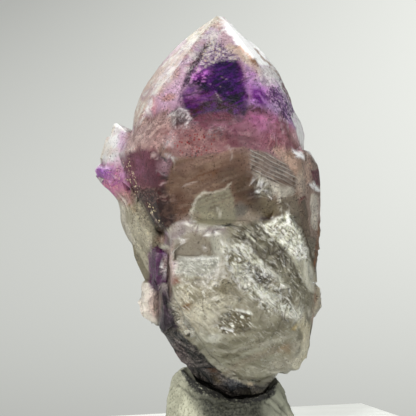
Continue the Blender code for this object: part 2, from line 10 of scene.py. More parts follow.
import bpy
import numpy as np
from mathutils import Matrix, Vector


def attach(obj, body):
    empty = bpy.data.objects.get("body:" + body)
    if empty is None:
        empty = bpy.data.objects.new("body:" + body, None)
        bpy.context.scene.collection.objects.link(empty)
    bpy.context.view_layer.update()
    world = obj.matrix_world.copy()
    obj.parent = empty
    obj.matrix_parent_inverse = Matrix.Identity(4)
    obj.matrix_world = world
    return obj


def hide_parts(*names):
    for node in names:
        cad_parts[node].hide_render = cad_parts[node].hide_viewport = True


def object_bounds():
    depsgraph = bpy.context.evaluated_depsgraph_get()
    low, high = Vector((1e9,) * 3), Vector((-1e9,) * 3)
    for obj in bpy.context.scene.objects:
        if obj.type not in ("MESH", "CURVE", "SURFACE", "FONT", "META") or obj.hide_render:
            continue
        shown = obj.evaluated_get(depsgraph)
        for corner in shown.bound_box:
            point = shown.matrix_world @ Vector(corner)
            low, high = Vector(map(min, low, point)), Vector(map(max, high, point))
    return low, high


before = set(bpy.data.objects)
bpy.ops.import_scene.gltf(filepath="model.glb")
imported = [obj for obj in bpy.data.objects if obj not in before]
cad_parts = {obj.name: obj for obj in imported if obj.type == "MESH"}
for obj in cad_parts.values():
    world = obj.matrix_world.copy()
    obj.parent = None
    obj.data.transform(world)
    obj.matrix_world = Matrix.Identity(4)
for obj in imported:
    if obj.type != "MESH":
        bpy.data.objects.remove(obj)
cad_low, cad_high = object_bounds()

MM = 0.001

# Camera: it looks a little down at the middle of the photo's frame
AIM = Vector((-3.6, 0.0, 40.5)) * MM
CAMERA_DISTANCE = 0.32
CAMERA_ELEVATION = math.radians(2.0)
FRAME_WIDTH = 75.3 * MM
SENSOR = 36.0

# The pale table ends behind the crystal in a corner, turned a little
TABLE_CORNER = (27.5, 35.0)
TABLE_TURN = math.radians(19.0)
TABLE_SIDE = 190.0
TABLE_THICKNESS = 9.0

# How bright the backdrop that the camera sees may be, and how dark the room that the crystal sees
BACKDROP_DARKEST = 0.45
BACKDROP_BRIGHTEST = 0.86
ROOM_DARKEST = 0.05
# The board shines a little by itself, so that it stays pale beside the crystal
TABLE_GLOW = 0.42

# Spacing of the points on the worked surfaces
QUARTZ_CELL = 0.63
PUTTY_CELL = 0.3

# Edges duller than this melt away on the quartz, and keener ones stay
MELTED_EDGE = math.radians(30)
MELT_ROUNDS = 45
CRISP_ANGLE = math.radians(34)

# The remesh of the quartz has this many halvings of a box around this height
REMESH_DEPTH = 8
QUARTZ_HEIGHT = 70.0

# Heights between which the dark skin of the foot begins, and the relief ends above the putty
SKIN_TOP = (27.0, 24.0)
RELIEF_END = (10.5, 12.5)

# Whole numbers that stir the dice, and one that keeps their cells above zero
STIR = (73856093, 19349663, 83492791)
STIR_SEED = (40503, 977)
STIR_AGAIN = ((13, 1274126177), (16, 2246822519))
ABOVE_ZERO = 4096

# How strongly the stones bend light, and how much of it the clear quartz takes away over a metre
QUARTZ_IOR = 1.54
PUTTY_IOR = 1.45
QUARTZ_DENSITY = 60.0

# Places on the front are given as across and down in the photo's frame, which is this many parts wide
FRAME_PARTS = 416


def in_frame(x, y, z):
    """How far across and down a place in millimetres comes in the photo's frame."""
    side = x - AIM.x / MM
    over = z - AIM.z / MM
    lean = math.sin(CAMERA_ELEVATION)
    away = y - over * lean + CAMERA_DISTANCE / MM
    parts = FRAME_PARTS / FRAME_WIDTH * CAMERA_DISTANCE
    middle = FRAME_PARTS / 2
    return side * parts / away + middle, middle - (over + y * lean) * parts / away


# Tools for meshes


def take(obj):
    """Selects obj alone and makes it active."""
    bpy.ops.object.select_all(action="DESELECT")
    obj.select_set(True)
    bpy.context.view_layer.objects.active = obj


def apply(obj, kind, **settings):
    """Gives obj a modifier and applies it."""
    modifier = obj.modifiers.new(kind.title(), kind)
    for name, value in settings.items():
        setattr(modifier, name, value)
    take(obj)
    bpy.ops.object.modifier_apply(modifier=modifier.name)


def copy_of_node(node, name):
    """A copy of a CAD node with its loose triangles merged."""
    piece = bpy.data.objects.new(name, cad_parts[node].data.copy())
    bpy.context.scene.collection.objects.link(piece)
    take(piece)
    bpy.ops.object.mode_set(mode="EDIT")
    bpy.ops.mesh.select_all(action="SELECT")
    bpy.ops.mesh.remove_doubles(threshold=1e-6)
    bpy.ops.object.mode_set(mode="OBJECT")
    piece.data.materials.clear()
    return piece


def points_of(piece):
    """The piece's points and the ways they face, in millimetres, as rows of x, y, z."""
    count = len(piece.data.vertices)
    place = np.empty(count * 3)
    facing = np.empty(count * 3)
    piece.data.vertices.foreach_get("co", place)
    piece.data.vertex_normals.foreach_get("vector", facing)
    return place.reshape(-1, 3) / MM, facing.reshape(-1, 3)


def put_points(piece, place):
    """Moves the piece's points there, but not out of the CAD model's box."""
    inside = np.clip(place * MM, np.array(cad_low), np.array(cad_high))
    piece.data.vertices.foreach_set("co", inside.astype(np.float32).ravel())
    piece.data.update()


def put_layer(piece, name, values):
    """Gives the piece's points four values each, under a name."""
    layer = piece.data.attributes.new(name, "FLOAT_COLOR", "POINT")
    layer.data.foreach_set("color", values.astype(np.float32).ravel())


def melt_edges(piece, keenest, rounds, where=None):
    """Smooths the piece along its surface, but not across edges of the keenest angle and more. where
    says how much of it each place gets."""
    place, facing = points_of(piece)
    share = 0.5 if where is None else 0.5 * where(place, facing)
    ends = np.empty(len(piece.data.edges) * 2, np.int32)
    piece.data.edges.foreach_get("vertices", ends)
    ends = ends.reshape(-1, 2)
    one, other = ends[:, 0], ends[:, 1]
    alike = (facing[one] * facing[other]).sum(axis=1)
    limit = math.cos(keenest / 2)
    hold = np.clip((alike - limit) / (1 - limit), 0, 1) ** 2
    both = np.concatenate((one, other))
    total = np.bincount(both, np.concatenate((hold, hold)), len(place)) + 1e-6
    for _ in range(rounds):
        for axis in range(3):
            span = hold * (place[other, axis] - place[one, axis])
            pull = np.bincount(both, np.concatenate((span, -span)), len(place))
            place[:, axis] += share * pull / total
    put_points(piece, place)


def refine(piece, wanted):
    """Divides the faces whose middles are wanted. wanted takes places and facings in millimetres."""
    count = len(piece.data.polygons)
    middle = np.empty(count * 3)
    facing = np.empty(count * 3)
    piece.data.polygons.foreach_get("center", middle)
    piece.data.polygons.foreach_get("normal", facing)
    chosen = wanted(middle.reshape(-1, 3) / MM, facing.reshape(-1, 3))
    take(piece)
    bpy.ops.object.mode_set(mode="EDIT")
    bpy.ops.mesh.select_mode(type="FACE")
    bpy.ops.mesh.select_all(action="DESELECT")
    bpy.ops.object.mode_set(mode="OBJECT")
    piece.data.polygons.foreach_set("select", chosen)
    bpy.ops.object.mode_set(mode="EDIT")
    bpy.ops.mesh.subdivide(number_cuts=1)
    bpy.ops.object.mode_set(mode="OBJECT")


def ramp(value, low, high):
    """0 at low, 1 at high, with soft ends. low may be above high."""
    share = np.clip((value - low) / (high - low), 0, 1)
    return share * share * (3 - 2 * share)


def dice(cell, seed):
    """A settled random value from 0 to 1 for each row of three whole numbers."""
    mixed = cell.astype(np.uint64) * np.array(STIR, np.uint64)
    times, more = STIR_SEED
    out = mixed[:, 0] ^ mixed[:, 1] ^ mixed[:, 2] ^ np.uint64(seed * times + more)
    for shift, times in STIR_AGAIN:
        out = (out ^ (out >> np.uint64(shift))) * np.uint64(times)
    out = out ^ (out >> np.uint64(15))
    return (out & np.uint64(0xFFFFF)) / float(0xFFFFF)


def clouds(place, size, seed, layers=1):
    """A soft uneven value from about -1 to 1 at each place, with lumps of a size, or three sizes. Each
    further layer adds lumps of half the size."""
    total = np.zeros(len(place))
    strength = 1.0
    for layer in range(layers):
        spot = place / (np.array(size) * 0.5 ** layer) + 17.3 * seed + 5.1 * layer
        cell = np.floor(spot)
        part = spot - cell
        part = part * part * (3 - 2 * part)
        for corner in itertools.product((0, 1), repeat=3):
            near = np.where(np.array(corner) == 1, part, 1 - part).prod(axis=1)
            value = dice((cell + corner + ABOVE_ZERO).astype(np.int64), seed + layer)
            total += strength * near * (2 * value - 1)
        strength *= 0.55
    return total * 1.25


def flakes(place, size, seed):
    """Tilted flat chips with steps between them, from about -1 to 1."""
    spot = place / size + 9.1 * seed
    cell = np.floor(spot)
    best = np.full(len(place), 9.0)
    out = np.zeros(len(place))
    for step in itertools.product((-1, 0, 1), repeat=3):
        home = (cell + step + ABOVE_ZERO).astype(np.int64)
        shift = np.stack([dice(home, seed + k) for k in (1, 2, 3)], axis=1)
        away = spot - (cell + step + shift)
        far = (away ** 2).sum(axis=1)
        tilt = np.stack([dice(home, seed + k) for k in (4, 5, 6)], axis=1) * 2 - 1
        value = (away * tilt).sum(axis=1) * 1.2 + 0.5 * tilt[:, 0]
        out = np.where(far < best, value, out)
        best = np.minimum(far, best)
    return out


def saw(value):
    """A slow rise and a sudden fall, from 0 to 1, once for each whole number."""
    return value - np.floor(value)


class Front:
    """What the camera sees of a piece: masks by where its points come in the photo's frame."""

    def __init__(self, place, facing):
        self.place = place
        self.across, self.down = in_frame(*place.T)
        self.faces = np.maximum(ramp(-facing[:, 1], -0.4, -0.05), ramp(place[:, 1], -8.5, -10.5))
        self.wander = 1.3 * clouds(place, 1.3, 31, 2)
        self.wander_down = 1.3 * clouds(place, 1.3, 35, 2)
        self.breaks = ramp(clouds(place, 1.2, 37, 3), -0.7, 0.4)

    def turned(self, degrees, long, short):
        """Places for a pattern of streaks that run down to the right by some degrees."""
        turn = math.radians(degrees)
        along = self.across * math.cos(turn) + self.down * math.sin(turn)
        over = self.down * math.cos(turn) - self.across * math.sin(turn)
        return np.stack((along / long, over / short, self.place[:, 1] * 4.0 / long), axis=1)

    def spot(self, across, down, wide, high, turn=0.0, soft=0.45):
        """1 in an egg-shaped spot."""
        turn = math.radians(turn)
        side = self.across + self.wander - across
        drop = self.down + self.wander_down - down
        one = (side * math.cos(turn) + drop * math.sin(turn)) / wide
        other = (drop * math.cos(turn) - side * math.sin(turn)) / high
        return ramp(np.hypot(one, other), 1 + soft, 1 - soft) * self.faces

    def haze(self, across, down, wide, high, turn=0.0):
        """An egg-shaped spot with very soft edges that comes and goes."""
        return self.spot(across, down, wide, high, turn, 0.8) * (0.25 + 0.75 * self.breaks)

    def far_from(self, route):
        """How far each point is from a route through (across, down) points."""
        side = self.across + 0.6 * self.wander
        drop = self.down + 0.6 * self.wander_down
        nearest = np.full(len(side), 999.0)
        for (u0, v0), (u1, v1) in zip(route, route[1:]):
            du, dv = u1 - u0, v1 - v0
            share = np.clip(((side - u0) * du + (drop - v0) * dv) / (du * du + dv * dv), 0, 1)
            nearest = np.minimum(nearest, np.hypot(side - u0 - share * du, drop - v0 - share * dv))
        return nearest

    def line(self, route, width):
        """1 along a route and 0 further off than half the width."""
        return ramp(self.far_from(route), 0.5 * width + 0.6, 0.5 * width - 0.5) * self.faces

    def area(self, outline, soft=1.5):
        """1 inside an outline."""
        closed = outline + outline[:1]
        side = self.across + 0.6 * self.wander
        drop = self.down + 0.6 * self.wander_down
        inside = np.zeros(len(side), bool)
        for (u0, v0), (u1, v1) in zip(closed, closed[1:]):
            if v0 != v1:
                crosses = (v0 > drop) != (v1 > drop)
                inside ^= crosses & (side < (u1 - u0) * (drop - v0) / (v1 - v0) + u0)
        depth = self.far_from(closed)
        return ramp(np.where(inside, depth, -depth), -soft, soft) * self.faces


# Outlines on the front of the quartz, as (across, down)
BREAK = (
    (165, 232), (178, 222), (206, 227), (232, 224), (262, 222), (289, 213), (300, 230), (316, 277),
    (312, 318), (312, 345), (298, 372), (276, 379), (262, 385), (240, 382), (226, 375), (214, 366),
    (201, 352), (188, 339), (179, 325), (171, 310), (169, 290), (164, 262),
)
CAP = (
    (216, 10), (250, 30), (284, 70), (310, 125), (308, 150), (262, 146), (230, 140), (200, 130),
    (190, 116), (168, 108), (131, 132), (120, 120), (150, 60), (190, 20),
)
WINDOW = (
    (207, 66), (216, 61), (236, 60), (242, 70), (246, 84), (248, 98), (245, 115), (236, 115), (226, 112),
    (208, 112), (194, 115), (185, 108), (182, 96), (188, 84), (198, 72),
)
SPECKLED = (
    (211, 38), (223, 46), (234, 54), (240, 61), (216, 63), (205, 68), (194, 74), (199, 60),
    (205, 47),
)
REFLECTING_FACET = (
    (217, 14), (250, 34), (266, 49), (284, 70), (274, 67), (258, 64), (248, 57), (237, 46), (227, 31)
)
LEDGE = (
    (168, 263), (178, 257), (200, 256), (219, 255), (221, 262), (215, 272), (209, 276), (192, 277),
    (177, 277), (171, 271),
)
GREY_WINDOW = (
    (173, 241), (186, 233), (199, 230), (206, 236), (211, 242), (211, 256), (195, 257), (172, 258),
)
BAND = (
    (222, 248), (246, 242), (256, 254), (268, 270), (278, 286), (288, 300), (300, 313), (290, 318),
    (268, 312), (250, 300), (236, 284), (226, 268),
)
SILVER = (
    (260, 226), (278, 219), (289, 213), (299, 230), (308, 252), (310, 262), (293, 257), (283, 247),
    (273, 238),
)
STRIPED = ((250, 149), (268, 152), (285, 163), (297, 177), (296, 190), (275, 183), (253, 173), (250, 166))
SPARKLES = ((253, 180), (261, 178), (272, 189), (270, 198), (256, 196))
PIT = ((219, 318), (232, 310), (251, 313), (251, 330), (236, 336), (222, 334), (217, 326))
SKIN = (
    (156, 326), (176, 329), (188, 340), (201, 353), (214, 367), (226, 376), (240, 383), (262, 386),
    (277, 380), (290, 404), (190, 410), (172, 380), (160, 345),
)
GREY_STRETCH = (
    (228, 240), (240, 225), (262, 222), (284, 246), (302, 268), (306, 290), (288, 286), (262, 262),
    (244, 243),
)
FLECKED = ((267, 82), (280, 78), (288, 92), (294, 106), (300, 121), (287, 125), (275, 110), (266, 96))
SLOPE = ((277, 267), (298, 274), (312, 293), (308, 307), (294, 301), (280, 286))
VEIL = ((211, 238), (222, 232), (231, 240), (228, 255), (218, 262), (212, 256))
SHOULDER_TOP = ((290, 150), (302, 152), (306, 160), (299, 157))
COLUMN_TOP = ((308, 184), (314, 183), (322, 192), (315, 191))
COLUMN_NOTCH_SHADE = ((312, 170), (320, 168), (322, 187), (314, 184))
SATELLITE_TIP = ((112, 126), (118, 121), (131, 129), (125, 132))

# Routes on it, the last where the foot's skin meets the broken face
LOW_RIM = ((301, 318), (308, 335), (306, 354), (298, 366))
SILL = ((192, 113), (200, 107), (212, 105), (226, 106), (237, 111))
CAP_RIM = ((295, 115), (299, 128), (303, 144))
CAP_GLINT = ((276, 74), (282, 84), (285, 91))
SHOULDER_RIM = ((306, 148), (313, 155), (318, 163))
FOOT_EDGE = ((172, 326), (188, 340), (202, 354), (214, 367), (228, 377), (244, 384), (264, 386))
# The white lump at the left, as a spot
LUMP = (146, 304, 13, 22)
# Painted highlights along the ridges in the band, each with its width
RIDGES = (
    (((226, 250), (242, 248), (252, 257), (259, 265)), 9),
    (((236, 268), (246, 281), (262, 293), (280, 306), (298, 313)), 11),
    (((268, 270), (280, 281), (289, 290)), 5),
)


def streaks(front, degrees, long, short, seed):
    """Sharp-crested streaks, from 0 in the hollows to 1 on the crests."""
    wavy = front.turned(degrees, long, short)
    wavy[:, 1] += 0.5 * clouds(front.place, 2.4, seed + 3)
    return 1 - np.abs(clouds(wavy, 1.0, seed, 2))


def crests(front):
    """The crests of the broken quartz, the wide ones and the fine ones."""
    return streaks(front, 42, 9.0, 3.4, 11), streaks(front, 48, 5.0, 1.9, 12)


def quartz_relief(place, facing):
    """How far the surface of the quartz stands out, in millimetres."""
    front = Front(place, facing)
    z = place[:, 2]
    broken = front.area(BREAK, 2.0)
    band = np.maximum(front.area(BAND, 3.0), front.area(SILVER, 1.5))
    grey = front.area(GREY_STRETCH, 3.0) * (1 - band)
    pit = front.area(PIT, 2.5)
    ledge = front.area(LEDGE)
    calm = np.maximum(front.area(GREY_WINDOW), front.area(WINDOW))
    skin = ramp(z, *SKIN_TOP) * (1 - broken) * np.maximum(front.area(SKIN, 2.0), 1 - front.faces)
    grain = clouds(place, 0.8, 3, 2)
    shell = clouds(place, 7.5, 2)
    bend = clouds(place, 3.1, 1)
    chip = flakes(place, 1.8, 4)
    small_chip = flakes(place, 0.9, 5)
    sliver = flakes(front.turned(42, 11.0, 3.6), 1.0, 7)
    crest, fine_crest = crests(front)
    step = saw((front.across * 0.62 + front.down * 0.3) / 11.0 + 0.8 * bend)
    out = band * (0.3 * crest + 0.14 * fine_crest - 0.3 + 0.24 * sliver + 0.05 * small_chip)
    out += grey * (0.2 * crest + 0.1 * fine_crest - 0.2 + 0.16 * sliver)
    plain = broken * (1 - band) * (1 - calm) * (1 - ledge) * (1 - grey)
    out += plain * (0.4 * shell + 0.12 * step + 0.12 * bend + 0.03 * grain - 0.16)
    out += pit * (0.16 * chip - 0.2 + 0.12 * small_chip)
    out += ledge * (0.1 * small_chip + 0.08 * grain)
    out += skin * (0.16 * chip + 0.12 * streaks(front, 28, 12.0, 1.9, 14) + 0.1 * small_chip - 0.22)
    crystal = (1 - broken) * (1 - skin)
    out += crystal * (0.09 * shell + 0.04 * bend + 0.025 * grain - 0.03)
    striped = front.area(STRIPED, 1.2)
    out += striped * 0.08 * (saw((front.down - 0.5 * front.across) / 8.6) - 0.5)
    out += front.area(SPARKLES, 1.5) * (0.25 * small_chip - 0.15)
    lump = front.spot(*LUMP)
    out += lump * (0.22 * bend + 0.12 * grain)
    ragged = front.line(((319, 213), (316, 232), (314, 255), (311, 275)), 7)
    out += ragged * (0.2 * chip + 0.15 * grain)
    return out * ramp(z, *RELIEF_END)


# Colours


def linear(red, green, blue):
    """A colour given as it looks on a screen, from 0 to 255, as the light it stands for."""
    return tuple(
        (c / 255 / 12.92) if c <= 10 else ((c / 255 + 0.055) / 1.055) ** 2.4
        for c in (red, green, blue)
    )


# The quartz shows this share of its paint, and this much light comes off its surface besides
PAINT_SHOWN = 0.72
SHEEN = 0.034


def paint(red, green, blue):
    """The colour to give the quartz where it is to look like this on a screen."""
    return tuple(
        min(0.93, max(0.004, (c - SHEEN) / PAINT_SHOWN)) for c in linear(red, green, blue)
    )


# Colours from the foot to the tip, seen all round: height in millimetres, colour as it looks
HEIGHTS = (
    (6, (120, 114, 104)),
    (22, (150, 146, 130)),
    (36, (150, 145, 130)),
    (44, (124, 106, 94)),
    (50.5, (128, 104, 98)),
    (54, (150, 104, 124)),
    (60, (160, 116, 152)),
    (67, (186, 160, 180)),
    (75, (220, 204, 194)),
)

# What lies on the front, from the first laid to the last: kind, where, colour as it looks, strength.
# A spot has its middle, its two half widths and its turn; a line its route and width.
PAINTED = (
    # The cap
    ("area", (CAP, 3), (176, 146, 164), 0.8),
    ("area", (((217, 12), (176, 52), (140, 84), (124, 112), (124, 134), (140, 120), (152, 100), (173, 82),
     (191, 54), (209, 27)), 2.5), (196, 172, 156), 0.95),
    ("area", (((209, 27), (191, 54), (173, 82), (152, 100), (146, 112), (168, 106), (182, 98), (192, 70),
     (206, 46)), 3), (194, 162, 182), 0.8),
    ("spot", (214, 35, 8, 12), (208, 190, 202), 0.8),
    ("line", (((215, 16), (203, 26), (190, 38)), 9), (236, 212, 180), 0.8),
    ("spot", (216, 22, 6, 7), (206, 178, 160), 0.7),
    ("spot", (226, 38, 5, 10, -30), (204, 176, 180), 0.7),
    ("line", (((211, 27), (204, 38), (196, 52), (190, 62)), 2), (160, 132, 178), 0.7),
    ("spot", (184, 62, 4, 9, 35), (200, 172, 202), 0.6),
    ("area", (((244, 60), (262, 64), (283, 80), (294, 103), (304, 126), (303, 142), (290, 126), (262, 112),
     (248, 102), (247, 80)), 3), (162, 136, 176), 0.85),
    ("line", (((230, 47), (241, 54), (252, 64), (260, 76)), 8), (210, 190, 170), 0.85),
    ("spot", (252, 74, 4, 9, -20), (182, 152, 172), 0.7),
    ("haze", (256, 90, 9, 13, -20), (166, 100, 177), 1.0),
    ("spot", (256, 96, 7, 9, -20), (112, 50, 128), 0.8),
    ("spot", (263, 100, 7, 6, 30), (92, 34, 110), 0.8),
    ("spot", (270, 89, 6, 8, -20), (214, 154, 214), 0.85),
    ("spot", (267, 79, 9, 8, 20), (232, 206, 212), 0.9),
    ("spot", (274, 72, 9, 4, 20), (244, 224, 206), 0.9),
    ("spot", (272, 99, 5, 6, 40), (118, 76, 124), 0.8),
    ("area", (((188, 118), (206, 106), (238, 112), (262, 106), (292, 125), (306, 152), (250, 150),
     (226, 142), (190, 134)), 4), (132, 84, 98), 0.9),
    ("spot", (215, 116, 27, 9), (106, 42, 68), 0.95),
    ("spot", (210, 128, 26, 5), (112, 58, 74), 0.8),
    ("haze", (228, 131, 14, 5), (108, 60, 78), 0.8),
    ("haze", (232, 141, 18, 6), (98, 66, 72), 0.95),
    ("spot", (246, 106, 4, 8), (68, 14, 66), 0.9),
    ("spot", (258, 109, 9, 4, 10), (76, 26, 52), 0.85),
    ("haze", (256, 118, 9, 5, 10), (164, 94, 138), 1.0),
    ("haze", (275, 117, 8, 5), (172, 116, 150), 1.0),
    ("haze", (263, 126, 9, 5, 20), (132, 72, 106), 0.9),
    ("spot", (284, 134, 14, 7, 35), (158, 114, 122), 0.7),
    ("spot", (240, 141, 16, 6, 6), (100, 68, 74), 0.7),
    ("spot", (296, 137, 4, 9, -15), (188, 156, 160), 0.8),
    ("line", (((281, 118), (283, 133)), 2), (188, 176, 176), 0.6),
    ("line", (((282, 114), (286, 130), (297, 147)), 6), (112, 88, 84), 0.55),
    ("haze", (280, 146, 12, 4, 20), (128, 74, 62), 0.6),
    ("line", (((286, 120), (288, 131)), 1.6), (180, 168, 172), 0.5),
    ("area", (((257, 65), (276, 67), (283, 77), (264, 77)), 2), (212, 208, 208), 0.8),
    ("spot", (168, 98, 8, 4, -10), (172, 134, 124), 0.8),
    ("spot", (152, 106, 4, 6), (200, 136, 136), 0.5),
    # The dark window in the cap
    ("area", (SPECKLED, 2), (168, 150, 168), 0.9),
    ("area", (WINDOW, 2), (62, 16, 84), 1.0),
    ("spot", (196, 99, 13, 8), (132, 72, 124), 0.85),
    ("spot", (193, 90, 8, 7, -40), (176, 128, 172), 0.8),
    ("spot", (210, 95, 12, 4, 12), (110, 60, 104), 0.7),
    ("spot", (217, 97, 6, 3, 25), (128, 92, 122), 0.7),
    ("haze", (202, 72, 9, 7, -20), (206, 118, 222), 1.0),
    ("spot", (197, 77, 5, 4, -30), (124, 44, 130), 0.8),
    ("spot", (226, 70, 10, 6), (66, 18, 92), 0.7),
    ("haze", (230, 84, 8, 9), (84, 26, 116), 0.8),
    ("spot", (233, 97, 9, 7, 40), (46, 8, 52), 0.8),
    ("line", (((191, 83), (193, 76), (199, 68)), 2.2), (214, 160, 208), 0.8),
    ("spot", (201, 83, 7, 4, 10), (50, 10, 62), 0.9),
    ("spot", (211, 88, 5, 6), (88, 34, 104), 0.5),
    ("line", (((238, 62), (243, 78), (246, 93), (244, 106)), 4), (108, 58, 110), 0.7),
    ("line", (((236, 66), (239, 80), (241, 94)), 3), (58, 26, 62), 0.7),
    ("spot", (223, 77, 1.3, 1.0), (196, 176, 150), 0.9),
    ("spot", (226.5, 78.5, 1.1, 0.9), (186, 166, 140), 0.8),
    ("spot", (219.5, 87.5, 1.1, 0.9), (166, 140, 130), 0.8),
    ("spot", (209.5, 83.5, 1.5, 1.0), (150, 120, 130), 0.8),
    ("line", (((215, 92), (218, 97), (222, 101)), 1.3), (186, 168, 170), 0.7),
    ("line", (((207, 44), (199, 57), (191, 71), (186, 82)), 4.4), (96, 82, 98), 0.85),
    ("line", (((187, 78), (182, 90), (179, 100), (184, 108), (191, 117)), 2.0), (92, 68, 94), 0.85),
    ("spot", (240, 113, 6, 8), (72, 30, 66), 0.85),
    ("line", (SILL, 9), (72, 10, 38), 1.0),
    ("line", (((190, 113), (199, 105), (210, 102), (224, 103), (237, 110), (244, 117)), 1.6), (96, 58, 92),
     0.6),
    ("line", (((239, 60), (245, 74), (249, 90), (249, 104)), 1.6), (170, 130, 150), 0.5),
    # Painted glints and highlights on the cap's edges, a painted reflection on the facet right of the tip,
    # and rusty edges
    ("line", (CAP_GLINT, 5), (244, 234, 224), 0.9),
    ("line", (((274, 92), (282, 103), (289, 114)), 10), (100, 66, 112), 0.9),
    ("line", (((283, 84), (289, 96), (292, 103)), 3.4), (92, 56, 36), 0.95),
    ("line", (((270, 68), (277, 72), (281, 79)), 1.4), (120, 90, 66), 0.8),
    ("line", (((291, 105), (295, 113), (299, 121)), 4), (96, 40, 120), 0.85),
    # Painted reflection: the facet right of the tip is white where it mirrors the light.
    ("area", (REFLECTING_FACET, 1), (255, 255, 255), 1.0),
    ("line", (((239, 47), (248, 55), (257, 66)), 2.0), (176, 138, 116), 0.8),
    ("spot", (254, 62, 2.4, 4, -40), (110, 82, 62), 0.9),
    ("line", (((254, 48), (260, 55), (267, 62), (272, 66)), 1.4), (112, 84, 62), 0.9),
    # Painted glints on the cap's left edge, and a painted highlight on its lower right rim.
    ("line", (((174, 73), (166, 85)), 2.2), (255, 252, 246), 0.9),
    ("line", (((157, 92), (149, 102), (147, 110)), 2.8), (255, 250, 242), 0.9),
    ("line", (CAP_RIM, 6), (255, 234, 242), 0.95),
    # The small clear tip between the cap and the broad crystal
    ("area", (((167, 122), (170, 112), (177, 107), (185, 110), (191, 117), (192, 126), (184, 131),
     (173, 131)), 1.5), (108, 95, 100), 0.95),
    ("haze", (173, 117, 5, 6), (182, 174, 170), 0.9),
    ("haze", (184, 116, 4, 6, 20), (160, 148, 150), 0.8),
    ("line", (((168, 120), (171, 111), (178, 107), (186, 111), (191, 120)), 1.4), (214, 208, 210), 0.7),
    ("spot", (195, 122, 3.4, 2), (166, 154, 160), 0.6),
    # The broad crystal at the left
    ("area", (((133, 127), (150, 116), (168, 109), (172, 126), (163, 141), (156, 151), (140, 146),
     (128, 153), (118, 155)), 2.5), (176, 146, 142), 0.95),
    ("haze", (158, 120, 13, 5, -30), (146, 120, 116), 0.8),
    ("haze", (146, 138, 12, 6, -30), (146, 118, 116), 0.8),
    ("area", (((118, 154), (130, 150), (142, 147), (155, 150), (160, 165), (168, 176), (172, 192),
     (150, 226), (138, 200), (128, 184)), 2), (106, 68, 76), 0.95),
    ("haze", (139, 166, 13, 14), (124, 80, 98), 0.9),
    ("spot", (152, 174, 7, 13), (92, 60, 70), 0.7),
    ("area", (((127, 186), (164, 188), (178, 196), (177, 222), (165, 230), (150, 232), (146, 215),
     (138, 200)), 3), (82, 52, 50), 0.95),
    ("area", (((149, 204), (171, 201), (176, 214), (170, 229), (158, 236), (151, 222)), 1.5), (64, 38, 40),
     0.9),
    ("spot", (168, 189, 9, 6), (62, 26, 30), 0.8),
    ("area", (((155, 151), (164, 157), (175, 157), (176, 168), (170, 176), (162, 176), (156, 165)), 1.5),
     (104, 76, 84), 0.9),
    ("line", (((160, 155), (164, 158), (166, 162)), 1.6), (52, 38, 44), 0.9),
    ("line", (((165, 152), (171, 156), (178, 159)), 1.4), (178, 172, 174), 0.8),
    ("line", (((158, 170), (163, 175), (169, 177)), 1.4), (152, 142, 146), 0.6),
    ("spot", (165, 178, 6, 2.4), (54, 26, 42), 0.8),
    ("haze", (163, 166, 6, 5), (150, 122, 130), 0.9),
    # Painted glints on the clear step.
    ("line", (((153, 151), (157, 159)), 1.2), (216, 196, 190), 0.7),
    ("line", (((172, 157), (175, 163), (174, 171)), 2.2), (220, 216, 208), 0.85),
    ("line", (((160, 184), (167, 182), (175, 183)), 1.3), (194, 168, 168), 0.8),
    ("line", (((142, 187), (150, 187)), 1.2), (160, 106, 112), 0.8),
    ("line", (((152, 211), (156, 222), (159, 226)), 1.6), (166, 152, 142), 0.7),
    ("line", (((127, 152), (133, 148)), 2.0), (212, 196, 186), 0.7),
    # The rust-dotted zone and the brown body
    ("area", (((160, 131), (190, 122), (226, 140), (231, 152), (212, 156), (180, 158), (166, 148)), 4),
     (136, 102, 102), 0.85),
    ("spot", (217, 134, 13, 7), (84, 50, 52), 0.75),
    ("area", (((174, 158), (215, 154), (247, 149), (252, 176), (262, 196), (250, 207), (232, 215),
     (190, 224), (176, 226), (170, 200), (165, 184)), 3), (108, 87, 74), 0.95),
    ("line", (((178, 168), (206, 159), (242, 150)), 7), (130, 105, 94), 0.7),
    ("spot", (205, 175, 16, 6, -18), (96, 71, 57), 0.8),
    ("spot", (180, 206, 8, 14), (86, 65, 57), 0.8),
    ("spot", (228, 176, 12, 8, -20), (84, 73, 62), 0.6),
    ("spot", (245, 188, 11, 14), (74, 64, 50), 0.8),
    ("spot", (254, 195, 7, 6), (62, 50, 36), 0.8),
    ("area", (((300, 196), (303, 226), (296, 226), (289, 214), (281, 215), (279, 196)), 1.5),
     (114, 106, 94), 0.9),
    ("spot", (268, 208, 16, 12), (100, 92, 75), 0.9),
    ("spot", (254, 206, 8, 7), (74, 63, 46), 0.7),
    # Painted shadow just above the top edge of the broken face.
    ("line", (((262, 219), (272, 220), (283, 217)), 5), (62, 50, 36), 0.9),
    ("spot", (240, 210, 8, 7), (94, 94, 88), 0.8),
    ("area", (((200, 194), (214, 193), (229, 187), (234, 200), (236, 222), (222, 226), (205, 227),
     (189, 223), (191, 208), (195, 198)), 2), (130, 127, 109), 0.92),
    ("spot", (208, 216, 8, 6), (146, 142, 120), 0.6),
    ("line", (((191, 214), (196, 199), (204, 193), (215, 193)), 2.2), (196, 192, 178), 0.8),
    ("line", (((214, 193), (224, 190), (231, 183)), 1.8), (184, 178, 162), 0.7),
    ("line", (((218, 208), (222, 218)), 2.4), (194, 190, 176), 0.6),
    ("line", (((228, 145), (231, 152), (231, 159)), 1.3), (172, 160, 152), 0.7),
    ("line", (((224, 147), (240, 149)), 1.2), (156, 140, 134), 0.6),
    ("line", (((184, 186), (192, 182)), 1.4), (194, 180, 170), 0.6),
    # The step with fine stripes at the right
    ("area", (((268, 146), (292, 150), (306, 162), (306, 196), (296, 192), (296, 176), (284, 162)), 2.5),
     (166, 142, 126), 0.9),
    ("area", (STRIPED, 1.2), (114, 101, 92), 0.9),
